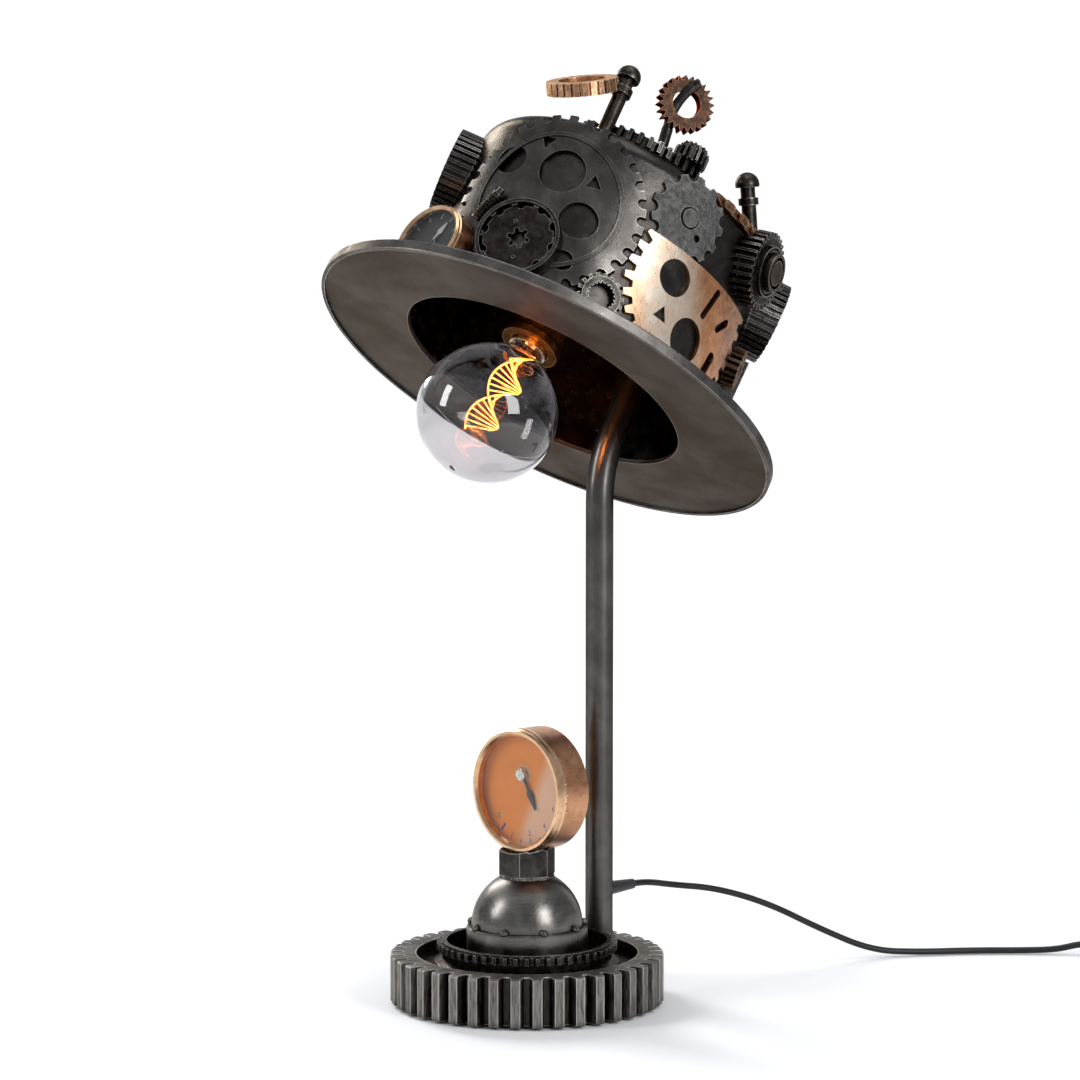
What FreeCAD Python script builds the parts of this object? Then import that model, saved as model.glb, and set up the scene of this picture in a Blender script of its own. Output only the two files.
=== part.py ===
import FreeCAD, Part
import math
import os
import Sketcher

# A table lamp made of machine parts, in millimetres.
# The origin is the centre of the felt under the base. +Z is up and the lamp faces -Y.

Vector = FreeCAD.Vector

SIZES = (
    # Base
    ("felt_outside", 168.0),
    ("felt_thickness", 1.5),
    ("base_outside", 185.0),
    ("base_bore", 150.0),
    ("base_width", 32.5),
    ("base_teeth", 40),
    ("base_tooth_depth", 8.6),
    ("base_tooth_gap", 5.4),
    ("base_edge", 1.0),
    ("plate_drop", 8.0),
    ("plate_thickness", 6.0),
    ("synchro_outside", 125.0),
    ("synchro_bore", 109.0),
    ("synchro_height", 16.5),
    ("synchro_flange", 5.0),
    ("synchro_waist", 115.0),
    ("synchro_teeth", 52),
    ("synchro_tooth_long", 6.0),
    ("synchro_gap", 3.6),
    # Dome and hex nut
    ("dome_outside", 75.4),
    ("dome_wall", 3.0),
    ("skirt_outside", 82.0),
    ("skirt_height", 26.4),
    ("nut_rise", 34.6),
    ("nut_corners", 39.0),
    ("nut_height", 19.0),
    ("bead_radius", 3.0),
    # Pressure gauge on the nut
    ("gauge_outside", 85.0),
    ("gauge_depth", 31.5),
    ("gauge_front", 11.5),
    ("gauge_sink", 3.9),
    ("gauge_wall", 2.0),
    ("gauge_bezel_width", 5.2),
    ("gauge_bezel_depth", 6.5),
    ("gauge_pivot_rise", 10.7),
    ("gauge_needle_length", 26.0),
    ("gauge_needle_turn", 27.6),
    ("gauge_spindle", 3.0),
    ("running_gap", 0.1),
    # Stem
    ("stem_outside", 19.0),
    ("stem_wall", 2.0),
    ("stem_back", 70.0),
    ("stem_straight_top", 335.0),
    ("stem_bend", 90.0),
    ("weld_spread", 5.0),
    ("cable_height", 66.6),
    ("cable_diameter", 5.4),
    ("relief_length", 24.0),
    ("relief_diameter", 11.0),
    # Hat
    ("hat_tilt", 33.0),
    ("hat_back", 15.2),
    ("hat_height", 418.2),
    ("brim_length", 346.0),
    ("brim_width", 310.0),
    ("brim_shift", 3.5),
    ("brim_thickness", 3.0),
    ("band_height", 7.0),
    ("band_thickness", 2.6),
    ("hole_length", 215.0),
    ("hole_width", 182.0),
    ("crown_length", 230.0),
    ("crown_width", 196.0),
    ("crown_shift", 4.0),
    ("crown_wall", 3.0),
    ("crown_height", 146.0),
    ("cap_round", 14.0),
    # Plates and wheels on the crown
    ("plate_skin", 3.0),
    ("clutch_outside", 126.0),
    ("clutch_height", 80.0),
    ("copper_outside", 122.0),
    ("copper_height", 67.0),
    ("copper_top", 91.0),
    ("sprocket_outside", 58.0),
    ("sprocket_height", 113.4),
    ("wheel_outside", 58.0),
    ("wheel_width", 12.0),
    ("wheel_teeth", 36),
    ("freewheel_outside", 56.0),
    ("freewheel_height", 45.5),
    ("dog_ring_outside", 32.0),
    ("dog_ring_height", 31.1),
    ("side_gear_outside", 53.0),
    ("side_gear_height", 124.0),
    ("hat_gauge_outside", 54.0),
    ("hat_gauge_depth", 22.0),
    ("hat_gauge_wall", 1.6),
    ("hat_gauge_bezel_width", 4.0),
    ("hat_gauge_bezel_depth", 5.0),
    ("hat_gauge_side", 14.0),
    ("hat_gauge_pin", 3.0),
    ("top_gear_outside", 104.0),
    ("top_gear_width", 8.0),
    ("top_gear_teeth", 44),
    ("bolt_shank", 10.0),
    ("bolt_head", 16.5),
    ("ring_outside", 48.0),
    ("ring_width", 9.0),
    ("hook_ring_outside", 39.0),
    ("hook_rod", 6.5),
    # Lamp holder and bulb
    ("bulb_diameter", 95.0),
    ("bulb_front", 36.5),
    ("bulb_height", 400.0),
    ("bulb_tilt", 42.5),
    ("glass_thickness", 0.9),
    ("exhaust_bore", 1.6),
    ("cap_diameter", 26.6),
    ("cap_start", 54.0),
    ("cap_length", 25.0),
    ("holder_outside", 38.0),
    ("holder_bore", 28.2),
    ("holder_start", 57.0),
    ("holder_length", 40.0),
    ("nipple_diameter", 10.0),
    ("arm_diameter", 13.0),
    ("arm_height", 75.0),
    ("filament_length", 62.0),
    ("filament_top", 47.5),
    ("filament_width", 22.0),
    ("filament_wire", 1.1),
    # Lead
    ("switch_long", 62.0),
    ("switch_wide", 28.0),
    ("switch_high", 17.0),
    ("switch_wall", 2.4),
    ("rocker_long", 20.0),
    ("rocker_wide", 12.0),
    ("coil_inner_radius", 25.0),
    ("coil_pitch", 6.0),
    ("coil_half_turns", 6),
    ("coil_tail", 20.0),
    ("plug_long", 36.0),
    ("plug_wide", 35.0),
    ("plug_high", 17.2),
    ("pin_diameter", 4.0),
    ("pin_length", 19.0),
    ("pin_spacing", 19.0),
)

doc = FreeCAD.newDocument("gear_hat_lamp")
sheet = doc.addObject("Spreadsheet::Sheet", "size")
for row, (alias, value) in enumerate(SIZES, start=1):
    sheet.set("A%d" % row, alias)
    sheet.set("B%d" % row, str(value))
    sheet.setAlias("B%d" % row, alias)
doc.recompute()

nodes = []


def mm(alias):
    """The value of one cell of the sheet."""
    return float(sheet.get(alias))


def node(name, piece, place=None):
    """Give a finished sub-part its name and, where it has one, its place."""
    piece.Label = name
    if place is not None:
        piece.Placement = place
    nodes.append(piece)
    return piece


def placed(shape, place):
    """A copy of a shape, moved as a whole, whatever turns it already has."""
    moved = shape.copy()
    moved.Placement = place.multiply(moved.Placement)
    return moved


def shaped(name, shape, place=None):
    """A sub-part whose form comes from the shape functions below."""
    piece = doc.addObject("Part::Feature", name)
    piece.Shape = shape if place is None else placed(shape, place)
    return node(name, piece)


def primitive(kind, name, **sizes):
    """A Part primitive whose properties follow the sheet."""
    piece = doc.addObject("Part::" + kind, name)
    for prop, text in sizes.items():
        piece.setExpression(prop, text)
    return piece


def cut(name, base, tool):
    piece = doc.addObject("Part::Cut", name)
    piece.Base = base
    piece.Tool = tool
    return piece


def fuse(name, *pieces):
    piece = doc.addObject("Part::MultiFuse", name)
    piece.Shapes = list(pieces)
    return piece


# Bodies from sketches


def origin_part(body, role):
    for feature in body.Origin.OriginFeatures:
        if feature.Role == role:
            return feature
    raise ValueError(role)


def new_sketch(body, name, plane):
    sketch = body.newObject("Sketcher::SketchObject", name)
    sketch.AttachmentSupport = [(origin_part(body, plane), "")]
    sketch.MapMode = "FlatFace"
    return sketch


def pin_corner(sketch, corner, axis_number, kind, text):
    """Hold one corner at a distance from the origin, or on the axis where the text is empty."""
    if text == "":
        sketch.addConstraint(Sketcher.Constraint("PointOnObject", corner, 1, axis_number))
        return
    if text.startswith("-"):
        index = sketch.addConstraint(Sketcher.Constraint(kind, corner, 1, -1, 1, 1.0))
        text = text[1:]
    else:
        index = sketch.addConstraint(Sketcher.Constraint(kind, -1, 1, corner, 1, 1.0))
    sketch.setExpression("Constraints[%d]" % index, text)


def polygon_sketch(body, name, plane, corners):
    """A closed outline whose corners are pairs of expressions."""
    sketch = new_sketch(body, name, plane)
    count = len(corners)
    ring = []
    for index in range(count):
        angle = 2 * math.pi * index / count
        ring.append(Vector(50 + 20 * math.cos(angle), 50 + 20 * math.sin(angle), 0))
    for index in range(count):
        sketch.addGeometry(Part.LineSegment(ring[index], ring[(index + 1) % count]))
    for index in range(count):
        follower = (index + 1) % count
        sketch.addConstraint(Sketcher.Constraint("Coincident", index, 2, follower, 1))
    for index, (across, along) in enumerate(corners):
        pin_corner(sketch, index, -2, "DistanceX", across)
        pin_corner(sketch, index, -1, "DistanceY", along)
    return sketch


def circle_sketch(body, name, plane, radii):
    """Circles round the origin, each with a radius that is an expression."""
    sketch = new_sketch(body, name, plane)
    for index, text in enumerate(radii):
        sketch.addGeometry(Part.Circle(Vector(0, 0, 0), Vector(0, 0, 1), 10.0 + 5 * index))
        sketch.addConstraint(Sketcher.Constraint("Coincident", index, 3, -1, 1))
        bound = sketch.addConstraint(Sketcher.Constraint("Radius", index, 10.0 + 5 * index))
        sketch.setExpression("Constraints[%d]" % bound, text)
    return sketch


def turned_body(name, corners):
    """A body turned about Z from an outline of radius and height pairs."""
    body = doc.addObject("PartDesign::Body", name)
    sketch = polygon_sketch(body, name + "_outline", "XZ_Plane", corners)
    turn = body.newObject("PartDesign::Revolution", name + "_turn")
    turn.Profile = sketch
    turn.ReferenceAxis = (sketch, ["V_Axis"])
    turn.Angle = 360.0
    sketch.Visibility = False
    return body


def tooth_spaces(body, name, teeth, corners):
    """Cut one tooth space through the body and repeat it round Z."""
    sketch = polygon_sketch(body, name + "_space", "XY_Plane", corners)
    pocket = body.newObject("PartDesign::Pocket", name + "_pocket")
    pocket.Profile = sketch
    pocket.Type = "ThroughAll"
    pocket.Reversed = True
    pattern = body.newObject("PartDesign::PolarPattern", name + "_round")
    pattern.Originals = [pocket]
    pattern.Axis = (sketch, ["N_Axis"])
    pattern.Angle = 360.0
    pattern.setExpression("Occurrences", teeth)
    body.Tip = pattern
    return body


def gear_corners(outside, depth, gap):
    """The tooth space: narrower at the root, open past the tips."""
    root = "%s / 2 - %s" % (outside, depth)
    over = "%s / 2 + 1" % outside
    half_root = "%s * 0.34" % gap
    half_tip = "%s * 0.82" % gap
    return ((root, "-(%s)" % half_root), (over, "-(%s)" % half_tip), (over, half_tip), (root, half_root))


def gear_body(name, outside, bore, width, teeth, depth, gap):
    """A spur gear: a ring with its tooth spaces cut through."""
    body = doc.addObject("PartDesign::Body", name)
    sketch = circle_sketch(body, name + "_ring", "XY_Plane", (outside + " / 2", bore + " / 2"))
    pad = body.newObject("PartDesign::Pad", name + "_pad")
    pad.Profile = sketch
    pad.setExpression("Length", width)
    return tooth_spaces(body, name, teeth, gear_corners(outside, depth, gap))


# Places


def hat_place():
    """The hat's frame: its origin is the centre of the brim's hole and +Z is the crown's axis."""
    turn = FreeCAD.Rotation(Vector(1, 0, 0), -mm("hat_tilt"))
    return FreeCAD.Placement(Vector(0, mm("hat_back"), mm("hat_height")), turn)


def facing_front(x, y, z):
    """A place whose own +Z looks to -Y."""
    return FreeCAD.Placement(Vector(x, y, z), FreeCAD.Rotation(Vector(1, 0, 0), 90))


def at_height(z):
    return FreeCAD.Placement(Vector(0, 0, z), FreeCAD.Rotation())


def framed(point, across, along, outward):
    """A place from three axes."""
    matrix = FreeCAD.Matrix(
        across.x, along.x, outward.x, point.x,
        across.y, along.y, outward.y, point.y,
        across.z, along.z, outward.z, point.z,
        0, 0, 0, 1)
    return FreeCAD.Placement(matrix)


def crown_place(angle, height, outward=0.0):
    """A place on the crown's wall, in the hat's frame.

    The angle runs from the front towards +X. The place's own X runs round the crown, its Y up
    and its Z straight out of the wall.
    """
    half_width = mm("crown_width") / 2
    half_length = mm("crown_length") / 2
    turn = math.radians(angle)
    normal = Vector(math.sin(turn) / half_width, -math.cos(turn) / half_length, 0).normalize()
    across = Vector(math.cos(turn) * half_width, math.sin(turn) * half_length, 0).normalize()
    point = Vector(math.sin(turn) * half_width, mm("crown_shift") - math.cos(turn) * half_length, height)
    return framed(point + normal * outward, across, Vector(0, 0, 1), normal)


# Plain shapes


def cylinder(radius, low, high):
    return Part.makeCylinder(radius, high - low, Vector(0, 0, low))


def ring(outer, inner, low, high):
    return cylinder(outer, low, high).cut(cylinder(inner, low - 1, high + 1))


def polygon_solid(points, low, high):
    corners = [Vector(x, y, low) for x, y in points]
    wire = Part.makePolygon(corners + [corners[0]])
    return Part.Face(wire).extrude(Vector(0, 0, high - low))


def toothed(tip, root, teeth, low, high, tip_share=0.3, root_share=0.62):
    """A gear blank with straight-sided teeth."""
    points = []
    pitch = 2 * math.pi / teeth
    for number in range(teeth):
        middle = number * pitch
        for radius, share in ((root, -root_share), (tip, -tip_share), (tip, tip_share), (root, root_share)):
            angle = middle + share * pitch / 2
            points.append((radius * math.cos(angle), radius * math.sin(angle)))
    return polygon_solid(points, low, high)


def round_holes(radius, holes, notch, low, high):
    """Cylinders set evenly on a circle."""
    tools = []
    for number in range(holes):
        angle = 2 * math.pi * number / holes
        centre = Vector(radius * math.cos(angle), radius * math.sin(angle), low)
        tools.append(Part.makeCylinder(notch, high - low, centre))
    return Part.makeCompound(tools)


def tooth_gaps(radius, teeth, depth, width, low, high):
    """Round-bottomed spaces, set evenly on a circle and open outwards."""
    tools = []
    for number in range(teeth):
        turn = 360.0 * number / teeth
        angle = math.radians(turn)
        tools.append(slot(radius * math.cos(angle), radius * math.sin(angle), 2 * depth, width, turn, low, high))
    return Part.makeCompound(tools)


def triangle(x, y, size, turn, low, high):
    points = []
    for corner in range(3):
        angle = math.radians(turn + 120 * corner)
        points.append((x + size * math.cos(angle), y + size * math.sin(angle)))
    return polygon_solid(points, low, high)


def slot(x, y, length, width, turn, low, high):
    """A slot with round ends."""
    half = (length - width) / 2
    box = Part.makeBox(2 * half, width, high - low, Vector(-half, -width / 2, low))
    ends = [Part.makeCylinder(width / 2, high - low, Vector(side * half, 0, low)) for side in (-1, 1)]
    whole = box.fuse(ends)
    whole.rotate(Vector(0, 0, 0), Vector(0, 0, 1), turn)
    whole.translate(Vector(x, y, 0))
    return whole


def one_solid(shape):
    """The main solid of a boolean result, without slivers."""
    solids = sorted(shape.removeSplitter().Solids, key=lambda solid: solid.Volume)
    if len(solids) > 1 and solids[-2].Volume > 0.002 * solids[-1].Volume:
        print("loose solids:", " ".join("%.2f" % solid.Volume for solid in solids))
    return solids[-1]


def oval_solid(length, width, shift, low, high):
    """An upright oval: length along Y, width along X."""
    if length >= width:
        edge = Part.Ellipse(Vector(0, 0, 0), length / 2, width / 2).toShape()
        edge.rotate(Vector(0, 0, 0), Vector(0, 0, 1), 90)
    else:
        edge = Part.Ellipse(Vector(0, 0, 0), width / 2, length / 2).toShape()
    edge.translate(Vector(0, shift, low))
    return Part.Face(Part.Wire(edge)).extrude(Vector(0, 0, high - low))


def crown_oval(outward, low, high):
    """The crown's outside, grown by a distance."""
    length = mm("crown_length") + 2 * outward
    width = mm("crown_width") + 2 * outward
    return oval_solid(length, width, mm("crown_shift"), low, high)


def crown_skin(inner, outer, low, high):
    return crown_oval(outer, low, high).cut(crown_oval(inner, low - 1, high + 1))


def wrapped(outline, angle, height, inner, outer):
    """An outline bent round the crown, between two distances from its wall, whose top may stand past the cap."""
    tool = placed(outline, crown_place(angle, height))
    return tool.common(crown_skin(inner, outer, mm("brim_thickness"), 2 * mm("crown_height")))


def standing(shape, angle, height, inner):
    """A flat piece on the crown, coped to the wall at a distance from it."""
    piece = placed(shape, crown_place(angle, height))
    return piece.cut(crown_oval(inner, -5, 2 * mm("crown_height")))


HAT = hat_place()
CLUTCH_ANGLE = 26.3
COPPER_ANGLE = 92.0
SPROCKET_ANGLE = 74.8
FREEWHEEL_ANGLE = 23.7
DOG_RING_ANGLE = 57.0
SIDE_GEAR_ANGLE = 114.0
RIDGE_HEIGHT = 0.9  # the pressed ridge on the clutch plate
PLATE_GAP = 0.3  # clear space between neighbouring plates
GAUGE_LIFT = (mm("felt_thickness") + mm("base_width") - mm("plate_drop") + mm("skirt_height")
              + mm("nut_rise") + mm("nut_height") - mm("gauge_sink") + mm("gauge_outside") / 2)
PLATE_TOP = mm("felt_thickness") + mm("base_width") - mm("plate_drop")
SKIRT_TOP = PLATE_TOP + mm("skirt_height")
NUT_LOW = SKIRT_TOP + mm("nut_rise")
GEAR_TOP = mm("felt_thickness") + mm("base_width")
DEEP = 40.0  # how far a cutting tool runs into the crown


# Base


def base_felt():
    felt = primitive("Cylinder", "felt", Radius="size.felt_outside / 2", Height="size.felt_thickness")
    node("base_felt", felt)


def base_gear():
    body = doc.addObject("PartDesign::Body", "gear_ring")
    sketch = circle_sketch(body, "gear_circles", "XY_Plane", ("size.base_outside / 2", "size.base_bore / 2"))
    pad = body.newObject("PartDesign::Pad", "gear_pad")
    pad.Profile = sketch
    pad.setExpression("Length", "size.base_width")
    doc.recompute()
    edges = []
    for index, edge in enumerate(pad.Shape.Edges, start=1):
        if edge.Length > math.pi * mm("base_outside") * 0.9 and len(edge.Vertexes) == 1:
            edges.append("Edge%d" % index)
    chamfer = body.newObject("PartDesign::Chamfer", "gear_edges")
    chamfer.Base = (pad, edges)
    chamfer.setExpression("Size", "size.base_edge")
    tooth_spaces(body, "gear", "size.base_teeth",
                 gear_corners("size.base_outside", "size.base_tooth_depth", "size.base_tooth_gap"))
    tube = primitive("Cylinder", "stem_seat", Radius="size.stem_outside / 2", Height="size.base_width")
    tube.setExpression("Placement.Base.y", "size.stem_back")
    tube.setExpression("Placement.Base.z", "size.base_width - size.plate_drop")
    whole = cut("notched_gear", body, tube)
    node("base_gear", whole, at_height(mm("felt_thickness")))


def base_plate():
    plate = primitive("Cylinder", "floor_plate", Radius="size.base_bore / 2", Height="size.plate_thickness")
    node("base_plate", plate, at_height(PLATE_TOP - mm("plate_thickness")))


def synchro_ring():
    inner = "size.synchro_bore / 2"
    waist = "size.synchro_waist / 2"
    outer = "size.synchro_outside / 2"
    tooth_low = "size.synchro_height - size.synchro_tooth_long"
    turned = turned_body("synchro", (
        (inner, ""),
        (outer, ""),
        (outer, "size.synchro_flange * 0.5"),
        (waist, "size.synchro_flange"),
        (waist, "size.synchro_height"),
        (inner, "size.synchro_height")))
    teeth = gear_body("dog_teeth", "(size.synchro_outside - 3)", "size.synchro_waist",
                      "size.synchro_tooth_long * 0.8", "size.synchro_teeth",
                      "((size.synchro_outside - 3 - size.synchro_waist) / 2 - 0.6)", "size.synchro_gap")
    teeth.setExpression("Placement.Base.z", tooth_low)
    tube = primitive("Cylinder", "synchro_notch", Radius="size.stem_outside / 2", Height="size.synchro_height + 2")
    tube.setExpression("Placement.Base.y", "size.stem_back")
    tube.setExpression("Placement.Base.z", "-1")
    node("synchro_ring", cut("notched_synchro", fuse("synchro_whole", turned, teeth), tube), at_height(PLATE_TOP))


def dome():
    skirt = turned_body("skirt", (
        ("size.dome_outside / 2 - size.dome_wall", ""),
        ("size.skirt_outside / 2", ""),
        ("size.skirt_outside / 2", "size.skirt_height - 1"),
        ("size.skirt_outside / 2 - 1", "size.skirt_height"),
        ("size.dome_outside / 2 - size.dome_wall", "size.skirt_height")))
    node("dome_skirt", skirt, at_height(PLATE_TOP))
    outer = primitive("Sphere", "dome_outer", Radius="size.dome_outside / 2")
    inner = primitive("Sphere", "dome_inner", Radius="size.dome_outside / 2 - size.dome_wall")
    shell = cut("dome_hollow", outer, inner)
    flat = primitive("Box", "dome_flat", Length="size.dome_outside + 2", Width="size.dome_outside + 2",
                     Height="size.nut_rise")
    flat.setExpression("Placement.Base.x", "-size.dome_outside / 2 - 1")
    flat.setExpression("Placement.Base.y", "-size.dome_outside / 2 - 1")
    half = doc.addObject("Part::Common", "dome_half")
    half.Base = shell
    half.Tool = flat
    node("dome_shell", half, at_height(SKIRT_TOP))


def gauge_nut():
    """A hex nut with broken corners, coped on top to the drum that rests on it."""
    prism = primitive("Prism", "nut_prism", Circumradius="size.nut_corners / 2", Height="size.nut_height")
    prism.Polygon = 6
    low = primitive("Cone", "nut_bevel", Radius1="size.nut_corners / 2 + size.nut_height",
                    Radius2="size.nut_corners * 0.46", Height="size.nut_height")
    blunt = doc.addObject("Part::Common", "nut_blunt")
    blunt.Base = prism
    blunt.Tool = low
    drum = doc.addObject("Part::Feature", "nut_cope")
    case = mm("gauge_outside") / 2 - 1.0
    front = mm("gauge_front")
    lift = GAUGE_LIFT - NUT_LOW
    back = Part.makeCylinder(case, 200, Vector(0, 100, lift), Vector(0, -1, 0))
    bezel_depth = mm("gauge_bezel_depth")
    bezel = Part.makeCylinder(mm("gauge_outside") / 2, bezel_depth, Vector(0, bezel_depth - front, lift),
                              Vector(0, -1, 0))
    drum.Shape = back.fuse(bezel)
    node("gauge_nut", cut("nut", blunt, drum), at_height(NUT_LOW))


def weld_beads():
    """Beads at the dome's seam, at the nut and round the stem's foot."""
    beads = []
    dome_radius = mm("dome_outside") / 2
    bead = mm("bead_radius")
    dome_ball = Part.makeSphere(dome_radius, Vector(0, 0, SKIRT_TOP))
    skirt = cylinder(mm("skirt_outside") / 2, PLATE_TOP, SKIRT_TOP)
    for number in range(9):
        angle = math.radians(40 * number + 12)
        centre = Vector((dome_radius + 0.8) * math.cos(angle), (dome_radius + 0.8) * math.sin(angle), SKIRT_TOP + 0.6)
        beads.append(Part.makeSphere(bead, centre).cut(dome_ball.fuse(skirt)))
    flat = math.sqrt(dome_radius ** 2 - mm("nut_rise") ** 2)
    collar = Part.makeTorus(flat + 1.6, bead * 0.72, Vector(0, 0, NUT_LOW - 1.4))
    nut_block = Part.makeBox(90, 90, 40, Vector(-45, -45, NUT_LOW))
    beads.append(collar.cut(dome_ball).cut(nut_block))
    foot = Vector(0, mm("stem_back"), PLATE_TOP)
    tube = mm("stem_outside") / 2
    spread = tube + mm("weld_spread")
    cone = Part.makeCone(spread, tube, mm("plate_drop") + mm("weld_spread"), foot)
    cone = cone.cut(Part.makeCylinder(tube, 40, foot))
    ring_gear = ring(mm("base_outside") / 2, mm("base_bore") / 2, 0, GEAR_TOP)
    synchro = cylinder(mm("synchro_outside") / 2, PLATE_TOP - 1, PLATE_TOP + mm("synchro_height"))
    beads.append(cone.cut(ring_gear).cut(synchro))
    solids = []
    for shape in beads:
        solids.extend(shape.Solids)
    shaped("weld_beads", Part.makeCompound(solids))


# Gauges


def gauge(prefix, place, case_bore_cut=None):
    """The drum, bezel, glass and dial of a round gauge that looks along its own +Z."""
    size = "size." + prefix + "_"
    outer = "(" + size + "outside / 2)"
    case = "(" + outer + " - 1)"
    inside = "(" + case + " - " + size + "wall)"
    rim = "(" + size + "depth - " + size + "bezel_depth)"
    sight = "(" + outer + " - " + size + "bezel_width)"
    turned = turned_body(prefix + "_drum", (
        ("", ""),
        (case + " - 3", ""),
        (case, "3"),
        (case, rim),
        (inside, rim),
        (inside, size + "wall"),
        ("", size + "wall")))
    if case_bore_cut is None:
        node(prefix + "_case", turned, place)
    else:
        tool = doc.addObject("Part::Feature", prefix + "_cope")
        tool.Shape = case_bore_cut
        node(prefix + "_case", cut(prefix + "_coped", turned, tool), place)
    depth = size + "depth"
    bezel = turned_body(prefix + "_hoop", (
        (sight, rim),
        (outer, rim),
        (outer, rim + " + 1.5"),
        (outer + " - 0.7", rim + " + 2.2"),
        (outer + " - 0.7", depth + " - 1.4"),
        (outer + " - 1.8", depth),
        (sight + " + 1.6", depth),
        (sight, depth + " - 1.6")))
    node(prefix + "_bezel", bezel, place)
    glass = primitive("Cylinder", prefix + "_pane", Radius=sight, Height="1.5 mm")
    pane = place.multiply(at_height(mm(prefix + "_depth") - mm(prefix + "_bezel_depth") + 2.0))
    node(prefix + "_glass", glass, pane)
    return inside


def dial(prefix, place, inside, pivot_text, hole_text, drop):
    """The dial, with the hole of its pivot above the middle."""
    disc = primitive("Cylinder", prefix + "_card", Radius=inside, Height="1 mm")
    hole = primitive("Cylinder", prefix + "_hole", Radius=hole_text, Height="3 mm")
    hole.setExpression("Placement.Base.y", pivot_text)
    hole.setExpression("Placement.Base.z", "-1 mm")
    low = mm(prefix + "_depth") - mm(prefix + "_bezel_depth") - drop
    node(prefix + "_dial", cut(prefix + "_face", disc, hole), place.multiply(at_height(low)))
    return low + 1.0


def pointer(length, tail, hub, hole, turn, low, high):
    """A spade pointer on a round boss, with the hole of its pivot."""
    points = ((-0.9, -tail), (0.9, -tail), (0.9, length * 0.42), (2.6, length * 0.55), (0.5, length),
              (-0.5, length), (-2.6, length * 0.55), (-0.9, length * 0.42))
    shape = polygon_solid(points, low, high).fuse(cylinder(hub, low, high))
    shape = shape.cut(cylinder(hole, low - 1, high + 1))
    shape.rotate(Vector(0, 0, 0), Vector(0, 0, 1), turn)
    return one_solid(shape)


def main_gauge():
    place = facing_front(0, mm("gauge_depth") - mm("gauge_front"), GAUGE_LIFT)
    inside = gauge("gauge", place)
    rise = mm("gauge_pivot_rise")
    hole = "size.gauge_spindle / 2 + size.running_gap"
    top = dial("gauge", place, inside, "size.gauge_pivot_rise", hole, 4.0)
    spindle = mm("gauge_spindle") / 2
    gap = mm("running_gap")
    block = cylinder(13, mm("gauge_wall"), top - 4).cut(cylinder(spindle + gap, mm("gauge_wall") + 3, top))
    shaped("gauge_movement", block, place.multiply(FreeCAD.Placement(Vector(0, rise, 0), FreeCAD.Rotation())))
    pivot = place.multiply(FreeCAD.Placement(Vector(0, rise, 0), FreeCAD.Rotation()))
    needle = pointer(mm("gauge_needle_length"), 5.0, 3.4, spindle, 180 + mm("gauge_needle_turn"), top + 1.2, top + 2.0)
    shaped("gauge_needle", needle, pivot)
    shaft = cylinder(spindle, mm("gauge_wall") + 3 + gap, top + 2.0)
    cap = cylinder(4.4, top + 2.0, top + 4.6)
    cap = cap.makeFillet(0.9, [edge for edge in cap.Edges if edge.BoundBox.ZMin > top + 4.5])
    shaped("gauge_hub", one_solid(shaft.fuse(cap)), pivot)


# Stem and its cable


def stem_path(start_height):
    """The stem's centreline from a height up to the cap of the crown: straight, bent, straight."""
    tilt = math.radians(mm("hat_tilt"))
    bend = mm("stem_bend")
    back = mm("stem_back")
    top = mm("stem_straight_top")
    start = Vector(0, back, start_height)
    bend_start = Vector(0, back, top)

    def on_bend(angle):
        return Vector(0, back + bend * (1 - math.cos(angle)), top + bend * math.sin(angle))

    bend_end = on_bend(tilt)
    direction = Vector(0, math.sin(tilt), math.cos(tilt))
    reached = HAT.inverse().multVec(bend_end)
    rest = mm("crown_height") - mm("crown_wall") - reached.z
    edges = (
        Part.LineSegment(start, bend_start).toShape(),
        Part.Arc(bend_start, on_bend(tilt / 2), bend_end).toShape(),
        Part.LineSegment(bend_end, bend_end + direction * rest).toShape())
    return Part.Wire(edges), reached


def swept(path, radius, start, direction):
    """A round bar along a path."""
    circle = Part.Wire(Part.Circle(start, direction, radius).toShape())
    pipe = path.makePipeShell([circle], True, False)
    return Part.Solid(pipe) if pipe.ShapeType == "Shell" else pipe


def stem():
    path, reached = stem_path(PLATE_TOP)
    start = Vector(0, mm("stem_back"), PLATE_TOP)
    up = Vector(0, 0, 1)
    outer = swept(path, mm("stem_outside") / 2, start, up)
    inner = swept(path, mm("stem_outside") / 2 - mm("stem_wall"), start, up)
    tube = outer.cut(inner)
    exit_hole = Part.makeCylinder(mm("cable_diameter") / 2 + 1, 20, Vector(0, mm("stem_back"), mm("cable_height")),
                                  Vector(0, 1, 0))
    arm_hole = Part.makeCylinder(mm("arm_diameter") / 2, 20, Vector(0, reached.y, mm("arm_height")),
                                 Vector(0, -1, 0))
    arm_hole.Placement = HAT.multiply(arm_hole.Placement)
    shaped("stem_tube", tube.cut(exit_hole).cut(arm_hole))
    return reached


def strain_relief():
    """A tapered sleeve behind the stem, with a spigot through the tube's wall."""
    height = mm("cable_height")
    axis = Vector(0, 1, 0)
    back = mm("stem_back")
    tube = mm("stem_outside") / 2
    end = back + tube + mm("relief_length")
    cone = Part.makeCone(mm("relief_diameter") / 2, mm("cable_diameter") / 2 + 0.8, end - back, Vector(0, back, height), axis)
    stem_bar = Part.makeCylinder(tube, 60, Vector(0, back, height - 30))
    spigot_long = tube - mm("stem_wall") / 2
    spigot = Part.makeCylinder(mm("cable_diameter") / 2 + 1, spigot_long + 2, Vector(0, back, height), axis)
    bore = Part.makeCylinder(tube - mm("stem_wall"), 60, Vector(0, back, height - 30))
    sleeve = cone.cut(stem_bar).fuse(spigot.cut(bore))
    shaped("strain_relief", one_solid(sleeve))


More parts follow.
